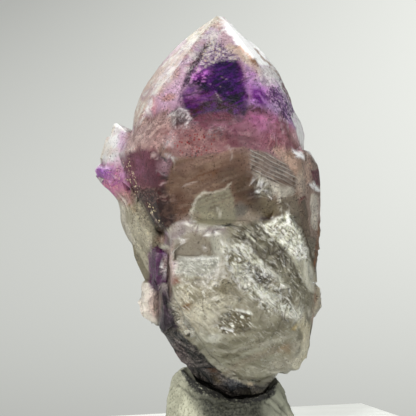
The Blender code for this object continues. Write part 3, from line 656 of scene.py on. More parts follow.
    ("area", (((251, 171), (262, 177), (275, 183), (293, 188), (295, 194), (284, 197), (271, 194),
     (262, 185)), 1.2), (172, 168, 156), 0.9),
    ("area", (SPARKLES, 1.5), (98, 93, 80), 0.85),
    # Painted glints on the sparkling patch.
    ("spot", (260, 184, 3, 2, 10), (255, 255, 252), 0.95),
    ("spot", (257, 192, 3, 1.8, 20), (235, 234, 226), 0.9),
    ("spot", (269, 194, 4, 1.5, 30), (206, 206, 196), 0.7),
    ("line", (((279, 196), (281, 209)), 2.0), (190, 186, 173), 0.8),
    ("line", (((288, 204), (288, 217)), 2.0), (198, 195, 184), 0.8),
    ("spot", (284, 203, 3, 6), (96, 89, 78), 0.7),
    # The shoulder and the column at the right
    ("area", (((302, 150), (312, 152), (320, 170), (323, 195), (322, 216), (319, 242), (306, 244),
     (300, 216), (298, 198), (305, 190), (307, 170)), 1.5), (152, 134, 124), 0.9),
    # Painted glints on the shoulder's top and along its rim.
    ("area", (SHOULDER_TOP, 0.8), (255, 255, 255), 1.0),
    ("line", (SHOULDER_RIM, 3.0), (230, 227, 222), 0.9),
    ("spot", (308, 172, 4, 13), (204, 172, 158), 0.85),
    ("spot", (301, 182, 5, 12), (184, 172, 158), 0.8),
    # Painted shade in the column's notch.
    ("area", (COLUMN_NOTCH_SHADE, 1.2), (112, 56, 76), 0.95),
    # A painted glint on the ledge under the notch.
    ("area", (COLUMN_TOP, 0.8), (255, 255, 255), 1.0),
    ("line", (((314, 197), (315, 226)), 7), (232, 212, 196), 0.85),
    ("line", (((319, 198), (319, 222)), 2.4), (214, 196, 186), 0.7),
    ("line", (((303, 204), (307, 240)), 8), (96, 86, 74), 0.85),
    ("spot", (303, 198, 3.5, 1.6), (112, 56, 44), 0.8),
    ("area", (((303, 238), (320, 238), (318, 278), (309, 268)), 1.5), (122, 117, 104), 0.9),
    ("line", (((320, 222), (318, 236), (316, 255), (313, 274)), 2.4), (130, 82, 52), 0.8),
    ("area", (((306, 278), (315, 275), (324, 290), (322, 306), (313, 319), (305, 312), (303, 295)), 1.5),
     (190, 180, 160), 0.9),
    ("line", (((313, 286), (316, 300), (310, 313)), 2.2), (150, 108, 84), 0.7),
    ("spot", (312, 318, 2.8, 2.4), (140, 62, 32), 0.9),
)

# The same for the broken quartz and what is below it
BREAK_PAINTED = (
    ("area", (BREAK, 1.5), (148, 143, 126), 0.95),
    ("area", (((167, 233), (178, 222), (190, 222), (206, 228), (226, 225), (226, 237), (206, 238),
     (199, 230), (186, 233), (174, 240), (170, 258), (164, 255)), 1.5), (142, 130, 130), 0.9),
    ("line", (((166, 234), (165, 246), (167, 259)), 3.4), (176, 144, 184), 0.85),
    ("line", (((220, 227), (230, 224)), 2.4), (46, 38, 28), 0.95),
    ("area", (GREY_WINDOW, 1.2), (136, 128, 114), 1.0),
    ("line", (((187, 224), (196, 226), (203, 229), (208, 236), (215, 235), (223, 228)), 2.2),
     (216, 213, 202), 0.8),
    ("area", (VEIL, 3), (176, 176, 164), 0.8),
    ("area", (GREY_STRETCH, 3), (68, 62, 45), 0.9),
    ("line", (((245, 232), (256, 243), (269, 252)), 1.8), (218, 217, 203), 0.85),
    ("line", (((250, 231), (258, 239)), 1.4), (196, 192, 176), 0.7),
    ("area", (SLOPE, 3), (114, 110, 93), 0.9),
    # Painted shadow along the column beside the broken face.
    ("line", (((290, 211), (302, 228), (310, 251), (316, 274)), 1.8), (74, 66, 54), 0.7),
    ("area", (((172, 283), (205, 276), (240, 270), (246, 296), (232, 311), (200, 331), (180, 323),
     (171, 306)), 3), (142, 136, 117), 0.85),
    ("spot", (228, 283, 16, 12), (122, 116, 96), 0.8),
    ("spot", (188, 321, 14, 10, 35), (196, 188, 168), 0.8),
    ("spot", (200, 305, 9, 6), (176, 170, 150), 0.7),
    ("spot", (181, 299, 8, 9), (182, 176, 158), 0.6),
    ("area", (((198, 301), (225, 293), (238, 300), (232, 312), (214, 323), (198, 320)), 3),
     (178, 173, 155), 0.8),
    ("line", (((233, 312), (222, 319), (214, 326)), 1.8), (232, 230, 218), 0.8),
    # Painted shadow under the ledge.
    ("line", (((178, 280), (208, 280), (217, 272)), 2.4), (104, 96, 78), 0.8),
    ("haze", (187, 305, 6, 5), (116, 84, 36), 1.0),
    ("spot", (184, 307, 2.2, 1.8), (92, 62, 24), 0.8),
    ("area", (((236, 312), (262, 311), (300, 317), (316, 330), (314, 350), (296, 374), (262, 380),
     (240, 350), (232, 336)), 4), (134, 130, 113), 0.9),
    ("line", (LOW_RIM, 11), (190, 182, 158), 0.9),
    ("spot", (266, 330, 18, 8, 5), (117, 113, 97), 0.7),
    ("spot", (271, 341, 15, 7, 10), (108, 104, 88), 0.6),
    ("area", (((195, 332), (232, 337), (262, 350), (302, 350), (298, 374), (262, 384), (232, 380),
     (210, 364), (194, 346)), 4), (140, 137, 120), 0.8),
    ("spot", (234, 346, 22, 8, -8), (112, 108, 90), 0.8),
    ("spot", (284, 364, 16, 8, -18), (176, 170, 153), 0.8),
    ("line", (((226, 374), (246, 361), (270, 352), (300, 344)), 7), (140, 130, 114), 0.7),
    ("line", (((214, 368), (236, 358), (262, 347), (290, 338)), 2.2), (158, 156, 141), 0.6),
    ("line", (((212, 350), (232, 352), (262, 344), (296, 335)), 3), (174, 170, 156), 0.6),
    ("line", (((250, 366), (268, 372), (291, 374)), 1.8), (206, 202, 188), 0.7),
    ("spot", (286, 350, 7, 4, -20), (152, 128, 98), 0.6),
    ("spot", (293, 329, 2, 1.6), (202, 172, 92), 0.9),
    ("spot", (214, 338, 7, 5), (198, 198, 188), 0.6),
    ("area", (PIT, 2), (97, 90, 73), 0.9),
    ("line", (((235, 313), (250, 318)), 2), (84, 76, 60), 0.8),
    ("line", (((236, 309), (244, 312), (252, 314)), 2.2), (236, 226, 210), 0.95),
    # Painted glints in the pit.
    ("line", (((221, 328), (233, 331)), 2.6), (242, 242, 232), 0.9),
    ("area", (LEDGE, 1), (174, 174, 164), 1.0),
    ("spot", (215, 262, 4, 8), (150, 150, 140), 0.8),
    # A painted highlight along the ledge's upper edge.
    ("line", (((178, 259), (219, 258)), 1.6), (216, 216, 210), 0.6),
    ("area", (((292, 257), (309, 262), (316, 277), (314, 292), (309, 292), (301, 277)), 1.5),
     (216, 214, 196), 1.0),
    ("spot", (296, 315, 6, 6), (232, 231, 221), 0.8),
    ("line", (((294, 295), (303, 306), (312, 317)), 1.5), (208, 206, 193), 0.8),
    ("spot", (170, 266, 5, 8), (200, 176, 186), 0.85),
    ("spot", (173, 279, 4.6, 5), (130, 70, 60), 0.85),
    # The violet prism, the white lump, the column under it and the dark foot
    ("area", (((133, 291), (142, 281), (153, 284), (159, 296), (158, 324), (150, 324), (136, 315)), 2),
     (210, 201, 190), 0.95),
    ("spot", (154, 305, 4.5, 13), (202, 178, 170), 0.7),
    ("area", (((157, 290), (170, 292), (171, 310), (179, 326), (176, 333), (160, 332), (157, 316)), 1.5),
     (64, 49, 62), 1.0),
    ("area", (SKIN, 1.2), (34, 29, 24), 1.0),
    ("area", (((160, 336), (176, 342), (193, 362), (188, 376), (174, 360), (164, 348)), 2.5),
     (136, 122, 120), 0.8),
    ("spot", (180, 350, 8, 5, 45), (98, 84, 84), 0.5),
    ("line", (((165, 336), (182, 344), (197, 353)), 1.8), (152, 144, 140), 0.8),
    ("spot", (234, 386, 12, 5, 12), (104, 106, 110), 0.8),
    ("spot", (216, 379, 3.6, 6, -10), (114, 100, 78), 0.8),
    ("haze", (214, 371, 4, 2.2, 10), (128, 92, 66), 0.8),
    ("area", (((250, 387), (266, 384), (278, 378), (268, 396), (258, 404), (250, 400)), 2.5), (98, 94, 82),
     0.8),
    ("spot", (250, 383, 2.6, 3), (196, 180, 152), 0.85),
    ("spot", (157, 305, 4, 12), (186, 160, 148), 0.7),
    ("area", (((112, 124), (119, 120), (131, 129), (125, 141), (118, 153), (121, 162), (123, 168),
     (99, 166), (96, 153)), 1.5), (255, 230, 216), 1.0),
    ("spot", (122, 141, 4, 11, 15), (222, 184, 214), 0.8),
    ("line", (((112, 129), (104, 143), (99, 153), (101, 162)), 4), (240, 204, 188), 0.8),
    ("spot", (118, 162, 5, 5), (206, 170, 196), 0.7),
    ("spot", (105, 150, 6, 5), (226, 204, 180), 0.6),
    # A painted glint on the satellite's tip.
    ("area", (SATELLITE_TIP, 1), (255, 255, 255), 1.0),
    ("area", (((91, 170), (100, 162), (121, 164), (126, 177), (131, 190), (128, 198), (118, 200),
     (101, 189), (92, 178)), 1.5), (172, 112, 146), 0.95),
    ("haze", (101, 172, 9, 8), (142, 90, 168), 0.9),
    ("spot", (111, 186, 8, 4, 40), (186, 108, 126), 0.7),
    ("line", (((93, 169), (100, 162)), 2.0), (238, 232, 244), 0.8),
    ("area", (((113, 198), (131, 191), (141, 202), (150, 217), (158, 236), (166, 244), (156, 248),
     (150, 254), (150, 280), (143, 283), (118, 228)), 1.5), (166, 160, 140), 0.95),
    ("line", (((122, 232), (131, 251), (144, 277)), 12), (112, 104, 84), 0.85),
    ("line", (((121, 204), (124, 226), (132, 242)), 6), (196, 190, 176), 0.7),
    ("line", (((137, 204), (146, 224), (155, 242)), 2), (150, 142, 124), 0.7),
    ("line", (((118, 206), (122, 224), (130, 244)), 2), (124, 116, 100), 0.6),
    ("spot", (126, 197, 10, 7, 50), (176, 132, 132), 0.85),
    # A painted glint on the stem.
    ("line", (((122, 197), (126, 204)), 2.0), (226, 216, 206), 0.6),
    ("line", (((129, 205), (135, 212)), 1.8), (146, 110, 56), 0.8),
    ("spot", (162, 239, 6, 5), (146, 124, 108), 0.85),
    ("line", (((119, 153), (124, 168), (130, 184), (136, 193), (142, 200), (149, 213)), 1.4), (70, 34, 30),
     0.9),
    ("line", (((150, 214), (154, 226), (160, 236)), 1.6), (52, 34, 32), 0.8),
    # The violet prism with crumbs at its right
    ("area", (((160, 246), (172, 246), (174, 276), (170, 292), (160, 292)), 1.5), (178, 158, 150), 0.9),
    ("area", (((148, 253), (153, 248), (158, 246), (163, 250), (170, 256), (169, 259), (161, 260),
     (162, 270), (168, 277), (167, 284), (161, 286), (160, 292), (153, 290), (149, 282)), 1.0),
     (92, 46, 88), 1.0),
    ("spot", (165, 255, 4, 2.4, 40), (140, 100, 146), 0.8),
    ("spot", (157, 254, 3, 3), (130, 108, 128), 0.7),
    ("line", (((160, 262), (162, 270), (168, 276)), 1.6), (222, 208, 206), 0.8),
    # A painted glint at the prism's lower right.
    ("spot", (164, 287, 4, 3.4), (196, 186, 180), 0.8),
    ("spot", (165, 247, 4.5, 2.2), (236, 220, 200), 0.9),
)

# The same on the bright band, over its crests
BAND_PAINTED = (
    ("spot", (263, 276, 9, 6, 40), (70, 64, 46), 0.9),
    ("spot", (262, 246, 8, 6, 40), (104, 100, 84), 0.6),
    ("spot", (300, 350, 7, 8), (192, 188, 170), 0.7),
    ("spot", (290, 300, 8, 5, 40), (88, 82, 66), 0.85),
    ("area", (SILVER, 1.5), (222, 219, 202), 0.95),
    ("spot", (279, 231, 7, 5, 40), (158, 154, 138), 0.8),
    ("spot", (300, 251, 6, 8), (250, 248, 236), 0.7),
)

# What the stone is like in most places. frost is a matt white bloom, dense stone lets no light through,
# grit is even grain, fleck is slanting flecks that stand out, the bright ones painted glints and the dark
# ones painted shade, red, gold and black are specks of a colour, white is where the paint shows plainly,
# mostly at painted highlights, and deep lets light scatter deeper in the broken stone.
MOSTLY = {
    "frost": 0.0, "dense": 0.0, "grit": 0.9, "fleck": 0.0, "red": 0.0, "gold": 0.0, "black": 0.0,
    "white": 0.0, "deep": 0.0,
}

# What it is like elsewhere on the front: kind, where, what is different
MADE_OF = (
    ("area", (CAP, 3), {"grit": 0.8, "black": 0.08}),
    ("line", (((212, 20), (178, 62), (150, 86), (137, 108)), 26), {"frost": 0.3, "grit": 1.0}),
    ("area", (SPECKLED, 2), {"grit": 1.0, "gold": 0.8, "black": 0.3}),
    ("line", (((207, 44), (199, 57), (191, 71), (186, 84)), 7), {"black": 1.0}),
    ("line", (((266, 62), (282, 84), (294, 112), (302, 146)), 18), {"white": 0.8, "grit": 1.2}),
    ("area", (FLECKED, 3), {"black": 0.2, "grit": 1.3}),
    ("line", (SILL, 8), {"white": 0.8, "grit": 0.5}),
    ("spot", (112, 138, 8, 10), {"white": 0.25}),
    ("line", (CAP_RIM, 6), {"white": 1.0, "grit": 0.3}),
    ("line", (CAP_GLINT, 4), {"white": 0.6}),
    ("area", (WINDOW, 1.5), {"dense": 0.95, "grit": 0.6, "black": 0.2, "gold": 0.0}),
    ("spot", (216, 116, 24, 8), {"dense": 0.85, "grit": 0.6}),
    ("area", (REFLECTING_FACET, 1), {"white": 1.0, "grit": 0.0, "black": 0.0}),
    ("spot", (156, 122, 14, 7, -30), {"black": 0.4}),
    ("area", (SHOULDER_TOP, 0.8), {"white": 1.0}),
    ("line", (SHOULDER_RIM, 3.0), {"white": 0.8}),
    ("area", (COLUMN_TOP, 0.8), {"white": 1.0}),
    ("area", (SATELLITE_TIP, 1), {"white": 1.0}),
    ("area", (COLUMN_NOTCH_SHADE, 1.2), {"dense": 1.0}),
    ("spot", (193, 143, 28, 13), {"red": 1.0, "grit": 1.1}),
    ("area", (((302, 150), (320, 160), (323, 200), (318, 244), (306, 244), (300, 216), (298, 198),
     (307, 170)), 1.5), {"grit": 1.6}),
    ("spot", (276, 138, 14, 8), {"red": 0.5}),
    ("spot", (152, 106, 6, 8), {"red": 0.4}),
    ("area", (((118, 154), (142, 147), (176, 160), (177, 222), (150, 226), (128, 184)), 2),
     {"grit": 0.7, "dense": 0.6}),
    ("spot", (150, 199, 14, 6), {"black": 0.8}),
    ("spot", (158, 205, 18, 26), {"dense": 0.97}),
    ("line", (((126, 162), (132, 180), (138, 192)), 8), {"gold": 0.8}),
    ("line", (((148, 202), (156, 216), (160, 224)), 5), {"gold": 0.8}),
    ("spot", (110, 178, 14, 14), {"gold": 0.5}),
    ("area", (((112, 124), (119, 120), (132, 129), (126, 168), (99, 166), (96, 153)), 2),
     {"grit": 0.5, "black": 0.0}),
    ("area", (((174, 158), (247, 149), (262, 196), (236, 222), (190, 224), (170, 200)), 3),
     {"grit": 0.45, "dense": 0.3}),
    ("area", (BREAK, 2), {"grit": 0.2, "fleck": 0.25, "deep": 1.0}),
    ("area", (((172, 288), (200, 278), (236, 276), (240, 300), (196, 312), (184, 326), (171, 306)), 3),
     {"fleck": 0.55, "grit": 0.6}),
    ("area", (BAND, 3.5), {"fleck": 1.0}),
    ("area", (GREY_STRETCH, 3), {"fleck": 0.45}),
    ("area", (SILVER, 1.5), {"fleck": 1.2, "grit": 1.2, "white": 0.5}),
    ("line", (LOW_RIM, 11), {"white": 0.6, "grit": 0.6}),
    ("spot", (226, 284, 16, 14), {"fleck": 0.1}),
    ("spot", (232, 352, 30, 14), {"fleck": 0.1}),
    ("area", (SLOPE, 3), {"fleck": 0.5}),
    ("area", (PIT, 2.5), {"fleck": 0.9}),
    ("area", (GREY_WINDOW, 1.5), {"grit": 0.3, "fleck": 0.0}),
    ("area", (VEIL, 3), {"grit": 0.3, "fleck": 0.1}),
    ("area", (LEDGE, 1), {"frost": 1.0, "grit": 0.6, "fleck": 0.35}),
    ("spot", LUMP, {"frost": 1.0, "grit": 0.6}),
    ("area", (((148, 248), (168, 248), (170, 310), (178, 330), (157, 330)), 1.5),
     {"dense": 1.0, "grit": 1.4, "fleck": 0.0, "black": 0.2}),
    ("area", (SKIN, 1.2), {"dense": 1.0, "grit": 1.6, "black": 0.6, "fleck": 0.0}),
    ("spot", (174, 318, 7, 12), {"black": 1.0}),
)


# Light and dark streaks on the front: kind, where, turn, length, width, light and dark look, strength
STREAKED = (
    ("line", (((205, 32), (168, 74), (148, 98)), 14), -50, 11, 2.6, (228, 204, 216), (152, 116, 146), 0.5),
    ("area", (SPECKLED, 2), 0, 2.0, 1.7, (222, 212, 204), (80, 56, 92), 0.8),
    ("area", (WINDOW, 3), -24, 6.0, 2.2, (104, 46, 134), (34, 8, 48), 0.6),
    ("spot", (200, 75, 9, 8, -30), 0, 2.2, 1.8, (226, 140, 226), (84, 38, 100), 0.8),
    ("spot", (194, 97, 11, 9), -14, 9.0, 2.0, (150, 104, 150), (80, 32, 92), 0.6),
    ("spot", (256, 90, 14, 20, -20), 64, 6.0, 2.2, (182, 136, 194), (94, 40, 112), 0.6),
    ("area", (((260, 64), (276, 67), (284, 80), (268, 84)), 2), 30, 2.2, 1.5, (244, 232, 232),
     (150, 126, 136), 0.6),
    ("area", (FLECKED, 3), 54, 1.7, 0.95, (214, 190, 214), (44, 14, 70), 0.7),
    ("spot", (266, 124, 24, 11, 14), 20, 5.0, 2.6, (184, 122, 158), (114, 64, 86), 0.5),
    ("spot", (215, 118, 28, 10), 6, 6.0, 1.8, (116, 62, 86), (66, 20, 42), 0.5),
    ("spot", (196, 142, 30, 10), 0, 3.2, 2.2, (168, 136, 128), (98, 58, 62), 0.5),
    ("spot", (262, 140, 34, 8, 14), 18, 8.0, 2.0, (166, 130, 132), (104, 64, 68), 0.5),
    ("spot", (146, 130, 22, 16, -30), -36, 4.0, 2.0, (206, 180, 170), (108, 78, 74), 0.6),
    ("spot", (136, 168, 16, 20), -64, 5.0, 2.6, (134, 92, 112), (82, 50, 60), 0.35),
    ("spot", (154, 196, 19, 8, 8), 8, 1.6, 1.1, (150, 128, 120), (40, 22, 24), 0.65),
    ("spot", (164, 216, 14, 12), 60, 4.0, 1.8, (110, 88, 78), (46, 30, 26), 0.5),
    ("spot", (180, 119, 10, 10), -50, 4.5, 1.7, (216, 210, 208), (70, 48, 54), 0.75),
    ("spot", (112, 148, 14, 20), -50, 6.0, 2.6, (255, 238, 228), (196, 172, 170), 0.5),
    ("spot", (108, 178, 16, 13), 30, 4.0, 2.2, (208, 172, 214), (112, 66, 128), 0.6),
    ("line", (((124, 200), (138, 228), (150, 250)), 18), 63, 7.0, 2.2, (190, 185, 168), (112, 104, 88),
     0.4),
    ("line", (((312, 158), (313, 200), (311, 240)), 16), 84, 16.0, 4.0, (186, 170, 156), (108, 92, 82),
     0.2),
    ("area", (((172, 284), (205, 278), (240, 272), (246, 300), (226, 332), (200, 336), (180, 323),
     (171, 306)), 5), 24, 4.5, 2.2, (196, 192, 176), (108, 101, 82), 0.45),
    ("area", (((226, 334), (262, 318), (312, 318), (314, 350), (296, 374), (262, 384), (226, 376),
     (200, 350)), 5), -20, 13.0, 5.0, (162, 159, 143), (104, 99, 82), 0.4),
    ("area", (SLOPE, 4), 56, 6.0, 2.4, (156, 152, 136), (80, 75, 60), 0.5),
    ("area", (GREY_STRETCH, 3), 44, 6.0, 2.4, (130, 127, 111), (60, 54, 40), 0.5),
    # In the band and the silver patch the light streaks are painted glints.
    ("area", (BAND, 4), 38, 3.4, 1.5, (250, 247, 230), (98, 92, 75), 0.7),
    ("area", (SILVER, 2), 40, 3.4, 1.3, (255, 255, 244), (140, 135, 117), 0.7),
    ("spot", (164, 308, 9, 22), 78, 5.0, 1.6, (118, 100, 112), (34, 22, 30), 0.7),
    ("spot", (165, 267, 6, 10), 0, 2.4, 1.9, (240, 226, 214), (104, 78, 86), 0.75),
    ("spot", (156, 270, 8, 20), 80, 6.0, 1.7, (128, 92, 124), (56, 22, 52), 0.6),
    ("area", (SKIN, 2), 40, 7.0, 1.5, (128, 120, 114), (16, 12, 10), 0.7),
    ("area", (((253, 176), (262, 177), (295, 190), (294, 197), (272, 198), (255, 197)), 2), 24, 3.0, 1.4,
     (190, 188, 177), (128, 124, 112), 0.5),
    # Painted glints along the lower edge of the grey facet.
    ("line", (((254, 178), (262, 186), (272, 196)), 6), 40, 1.7, 1.2, (255, 255, 250), (66, 60, 50), 0.6),
)


def colour_quartz(piece):
    """Paints the quartz's points: their colour, and what the stone is like there."""
    place, facing = points_of(piece)
    front = Front(place, facing)
    uneven = place[:, 2] + 2.2 * clouds(place, 5.0, 41, 2)
    keys = [height for height, _ in HEIGHTS]
    shown = np.array([paint(*look) for _, look in HEIGHTS])
    colour = np.stack([np.interp(uneven, keys, shown[:, i]) for i in range(3)], axis=1)
    masks = {"spot": front.spot, "haze": front.haze, "line": front.line, "area": front.area}

    def lay(share, look):
        colour[:] += share[:, None] * (np.array(paint(*look)) - colour)

    def lay_all(table):
        for kind, where, look, strength in table:
            lay(masks[kind](*where) * strength, look)

    def lay_pair(share, pattern, span, light, dark):
        """Light where a pattern rises through the span and dark where it falls as far below zero.
        light and dark give a look and how much of it."""
        start, end = span
        lay(share * ramp(pattern, start, end) * light[1], light[0])
        lay(share * ramp(pattern, -start, -end) * dark[1], dark[0])

    behind = (1 - front.faces) * ramp(place[:, 2], 24.0, 17.0)
    lay(behind * 0.85, (70, 62, 58))
    lay_all(PAINTED + BREAK_PAINTED)

    # Painted highlights on the crests and painted shade in the hollows of the broken faces, stripes and
    # scratches
    broken = front.area(BREAK, 2.0) * (1 - front.area(GREY_WINDOW, 2.0))
    band = np.maximum(front.area(BAND, 3.5), front.area(SILVER, 1.5))
    crest, fine_crest = crests(front)
    lay(band * 0.8, (142, 138, 122))
    for route, width in RIDGES:
        lay(front.line(route, width) * 0.8, (222, 220, 204))
    lay_all(BAND_PAINTED)
    lay(band * ramp(crest, 0.6, 0.25) * 0.4, (112, 107, 90))
    lay(band * ramp(crest * 0.5 + fine_crest * 0.5, 0.66, 0.86) * 0.7, (252, 250, 236))
    grey = front.area(GREY_STRETCH, 3.0) * (1 - band)
    lay(grey * ramp(fine_crest, 0.72, 0.95) * 0.5, (186, 183, 168))
    lay(grey * ramp(fine_crest, 0.5, 0.2) * 0.5, (88, 84, 70))
    soft_cloud = clouds(place, 2.6, 51, 2)
    milky = broken * (1 - band)
    lay_pair(milky, soft_cloud, (0.2, 0.9), ((182, 178, 162), 0.3), ((112, 107, 90), 0.3))
    striped = front.area(STRIPED, 1.2)
    window = front.area(WINDOW, 1.5)
    streak = clouds(front.turned(-19, 14.0, 2.0), 1.0, 55, 2)
    body = front.area(((174, 158), (247, 149), (262, 196), (190, 224), (170, 200)), 3)
    lay_pair(body, streak, (0.1, 0.8), ((142, 122, 106), 0.35), ((78, 58, 46), 0.4))
    skin = np.maximum(front.area(SKIN, 1.2), behind)
    scratch = streaks(front, 32, 12.0, 1.8, 14)
    lay(skin * ramp(scratch, 0.8, 0.98) * 0.55, (140, 132, 126))
    lay(skin * ramp(scratch, 0.5, 0.2) * 0.6, (28, 24, 24))
    scratches = streaks(front, 24, 10.0, 1.6, 16)
    lay(window * ramp(scratches, 0.75, 0.98) * 0.3, (120, 84, 150))
    lay(window * ramp(scratches, 0.45, 0.1) * 0.5, (36, 12, 58))

    quality = {name: np.full(len(place), value) for name, value in MOSTLY.items()}
    for kind, where, values in MADE_OF:
        share = masks[kind](*where)
        for name, value in values.items():
            quality[name] += share * (value - quality[name])
    quality["dense"] = np.maximum(quality["dense"], behind)
    quality["black"] = np.maximum(quality["black"], behind * 0.6)
    for number, (kind, where, turn, long, short, light, dark, strength) in enumerate(STREAKED):
        share = masks[kind](*where) * strength
        near = np.flatnonzero(share > 0.01)
        pattern = np.zeros(len(place))
        pattern[near] = clouds(front.turned(turn, long, short)[near], 1.0, 60 + number, 3)
        lay_pair(share, pattern, (0.05, 0.8), (light, 1), (dark, 1))
    # The broken band is warmer than the light that its crests throw back
    colour[:, 2] *= 1 - 0.05 * np.maximum(band, grey)
    # Frosted and dense stone gives back more of the light than clear stone
    colour *= ((1 - 0.25 * quality["frost"]) * (1 - 0.5 * quality["dense"]))[:, None]

    strip = front.line(((212, 20), (178, 62), (150, 86), (134, 112)), 30)
    patch = clouds(front.turned(-48, 9.0, 3.0), 1.0, 57, 3)
    lay_pair(strip, patch, (0.0, 0.8), ((232, 218, 206), 0.6), ((164, 134, 120), 0.6))

    nature = np.stack([quality[name] for name in ("frost", "dense", "grit", "fleck")], axis=1)
    specks = np.stack([quality[name] for name in ("red", "gold", "black", "white")], axis=1)
    full = np.concatenate((colour, quality["deep"][:, None]), axis=1)
    put_layer(piece, "colour", full)
    put_layer(piece, "nature", nature)
    put_layer(piece, "specks", specks)
    put_layer(piece, "marks", striped[:, None] * np.array((1, 0, 0, 0)))


def make_quartz():
    quartz = copy_of_node("amethyst_scepter", "quartz")
    apply(
        quartz,
        "REMESH",
        mode="SHARP",
        octree_depth=REMESH_DEPTH,
        scale=QUARTZ_HEIGHT / (2 ** REMESH_DEPTH * QUARTZ_CELL),
        sharpness=1.0,
        use_remove_disconnected=True,
    )
    melt_edges(quartz, MELTED_EDGE, MELT_ROUNDS)
    melt_edges(quartz, math.pi, 9, lambda place, facing: Front(place, facing).area(WINDOW, 6))
    melt_edges(quartz, math.pi, 60, false_steps)
    put_points(quartz, moved(points_of(quartz)[0]))
    refine(quartz, lambda place, facing: (facing[:, 1] < 0.05) & (place[:, 2] > 9.0))
    refine(quartz, finest)
    place, facing = points_of(quartz)
    put_points(quartz, place + facing * quartz_relief(place, facing)[:, None])
    colour_quartz(quartz)
    take(quartz)
    bpy.ops.object.shade_smooth_by_angle(angle=CRISP_ANGLE)
    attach(quartz, "root")
    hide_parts("amethyst_scepter")
    return quartz


# Where the stone is moved: across, down, reach, then millimetres to the right, back and up
MOVED = (
    (114, 206, 13, (0.85, 0, 0)), (316, 291, 11, (0.85, 0, 0)), (312, 312, 8, (0.5, 0, 0)),
    (148, 321, 8, (0.6, 0, 0)), (164, 334, 9, (-0.7, 0, 0)), (304, 350, 13, (0.5, 0, 0)),
    (182, 369, 8, (0.3, 0, 0)), (113, 131, 6, (-0.4, 0, 0)), (296, 110, 10, (-0.4, 0, 0)),
    (125, 188, 4, (0.9, 0, 0)), (292, 364, 9, (1.1, 0, -1.2)), (192, 342, 9, (0, -1.0, 0)),
)


def moved(place):
    """The places with the outline of the stone put where the photo has it."""
    across, down = in_frame(*place.T)
    for u, v, reach, way in MOVED:
        place += np.exp(-((across - u) ** 2 + (down - v) ** 2) / reach ** 2)[:, None] * way
    # The niche between the broken face and the dark skin is filled.
    niche = ramp(np.hypot((across - 189) / 10, (down - 333) / 8), 1.2, 0.7) * (place[:, 1] < -2)
    place[:, 1] += niche * (np.minimum(place[:, 1], -11.6) - place[:, 1])
    return place


def false_steps(place, facing):
    """Where the solid has steps that the stone doesn't show."""
    across, down = in_frame(*place.T)
    spots = (
        (178, 192, 14, 44), (249, 128, 10, 20), (196, 124, 9, 16), (235, 323, 24, 18), (174, 141, 10, 16),
        (190, 336, 15, 12), (289, 368, 10, 8), (269, 213, 10, 11), (163, 240, 8, 8),
        (212, 260, 9, 22),
    )
    far = [np.hypot((across - u) / wide, (down - v) / high) for u, v, wide, high in spots]
    return ramp(np.min(far, axis=0), 1.4, 0.6) * ramp(place[:, 1], 8.0, 4.0)


def finest(place, facing):
    """Where the quartz needs its finest points."""
    front = Front(place, facing)
    rich = (BAND, SILVER, STRIPED, SPARKLES, PIT, WINDOW, SPECKLED, FLECKED)
    parts = [front.area(outline, 2.0) for outline in rich]
    parts.append(front.line(FOOT_EDGE, 5))
    return np.max(parts, axis=0) > 0.4


# Creases in the putty where it was pressed, each with its width
PUTTY_CREASES = (
    (((266, 388), (274, 397), (284, 408), (290, 416)), 1.8),
    (((276, 384), (284, 396), (290, 408)), 1.6),
    (((262, 402), (272, 404), (280, 412)), 1.6),
    (((200, 394), (214, 402), (230, 407), (246, 406)), 2.0),
    (((176, 384), (188, 392), (196, 400)), 1.4),
)
# Where the foot's shadow lies on the putty, and where painted shade lies on the rim around the foot
PUTTY_SHADOW = ((188, 384), (200, 390), (218, 393), (240, 396), (264, 392), (270, 424), (204, 424))
PUTTY_RIM_SHADE = (
    (181, 369), (192, 366), (206, 378), (224, 386), (240, 390), (262, 388), (274, 378), (274, 396),
    (264, 400), (244, 403), (216, 397), (196, 391), (187, 381),
)


def make_putty():
    putty = copy_of_node("putty_base", "putty")
    apply(putty, "REMESH", mode="VOXEL", voxel_size=PUTTY_CELL * MM)
    place, facing = points_of(putty)
    front = Front(place, facing)
    lump = clouds(place, 4.5, 61, 2)
    grain = clouds(place, 0.7, 62, 2)
    pressed_and_shaded = front.spot(276, 402, 18, 22)
    dent = flakes(place, 4.2, 63)
    out = 0.22 * lump + (1 - 0.75 * pressed_and_shaded) * 0.11 * grain + pressed_and_shaded * 0.3 * dent
    for route, width in PUTTY_CREASES:
        out -= 0.42 * front.line(route, width)
    top = ramp(place[:, 2], 9.5, 11.0)
    out += 0.12 * top * clouds(place, 1.6, 64, 2) - 0.15
    put_points(putty, place + facing * out[:, None])
    shadow = front.area(PUTTY_SHADOW, 10.0)
    crease_shade = np.max([front.line(route, width) for route, width in PUTTY_CREASES], axis=0)
    # The rim around the foot faces up and inwards too, so its painted shade goes by place alone.
    near = Front(place, np.full(facing.shape, -1.0))
    rim_shade = ramp(place[:, 1], 3.0, 0.0) * near.area(PUTTY_RIM_SHADE, 2.0)
    put_layer(putty, "shade", np.stack((shadow, pressed_and_shaded, crease_shade, rim_shade), axis=1))
    take(putty)
    bpy.ops.object.shade_smooth()
    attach(putty, "root")
    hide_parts("putty_base")
    return putty


def sum_of(operation, swapped=False):
    """A method of Socket that adds a Math node for an operation with one more value."""
    def method(self, other):
        pair = (other, self) if swapped else (self, other)
        return self.tree.add("ShaderNodeMath", {"operation": operation}, pair)

    return method


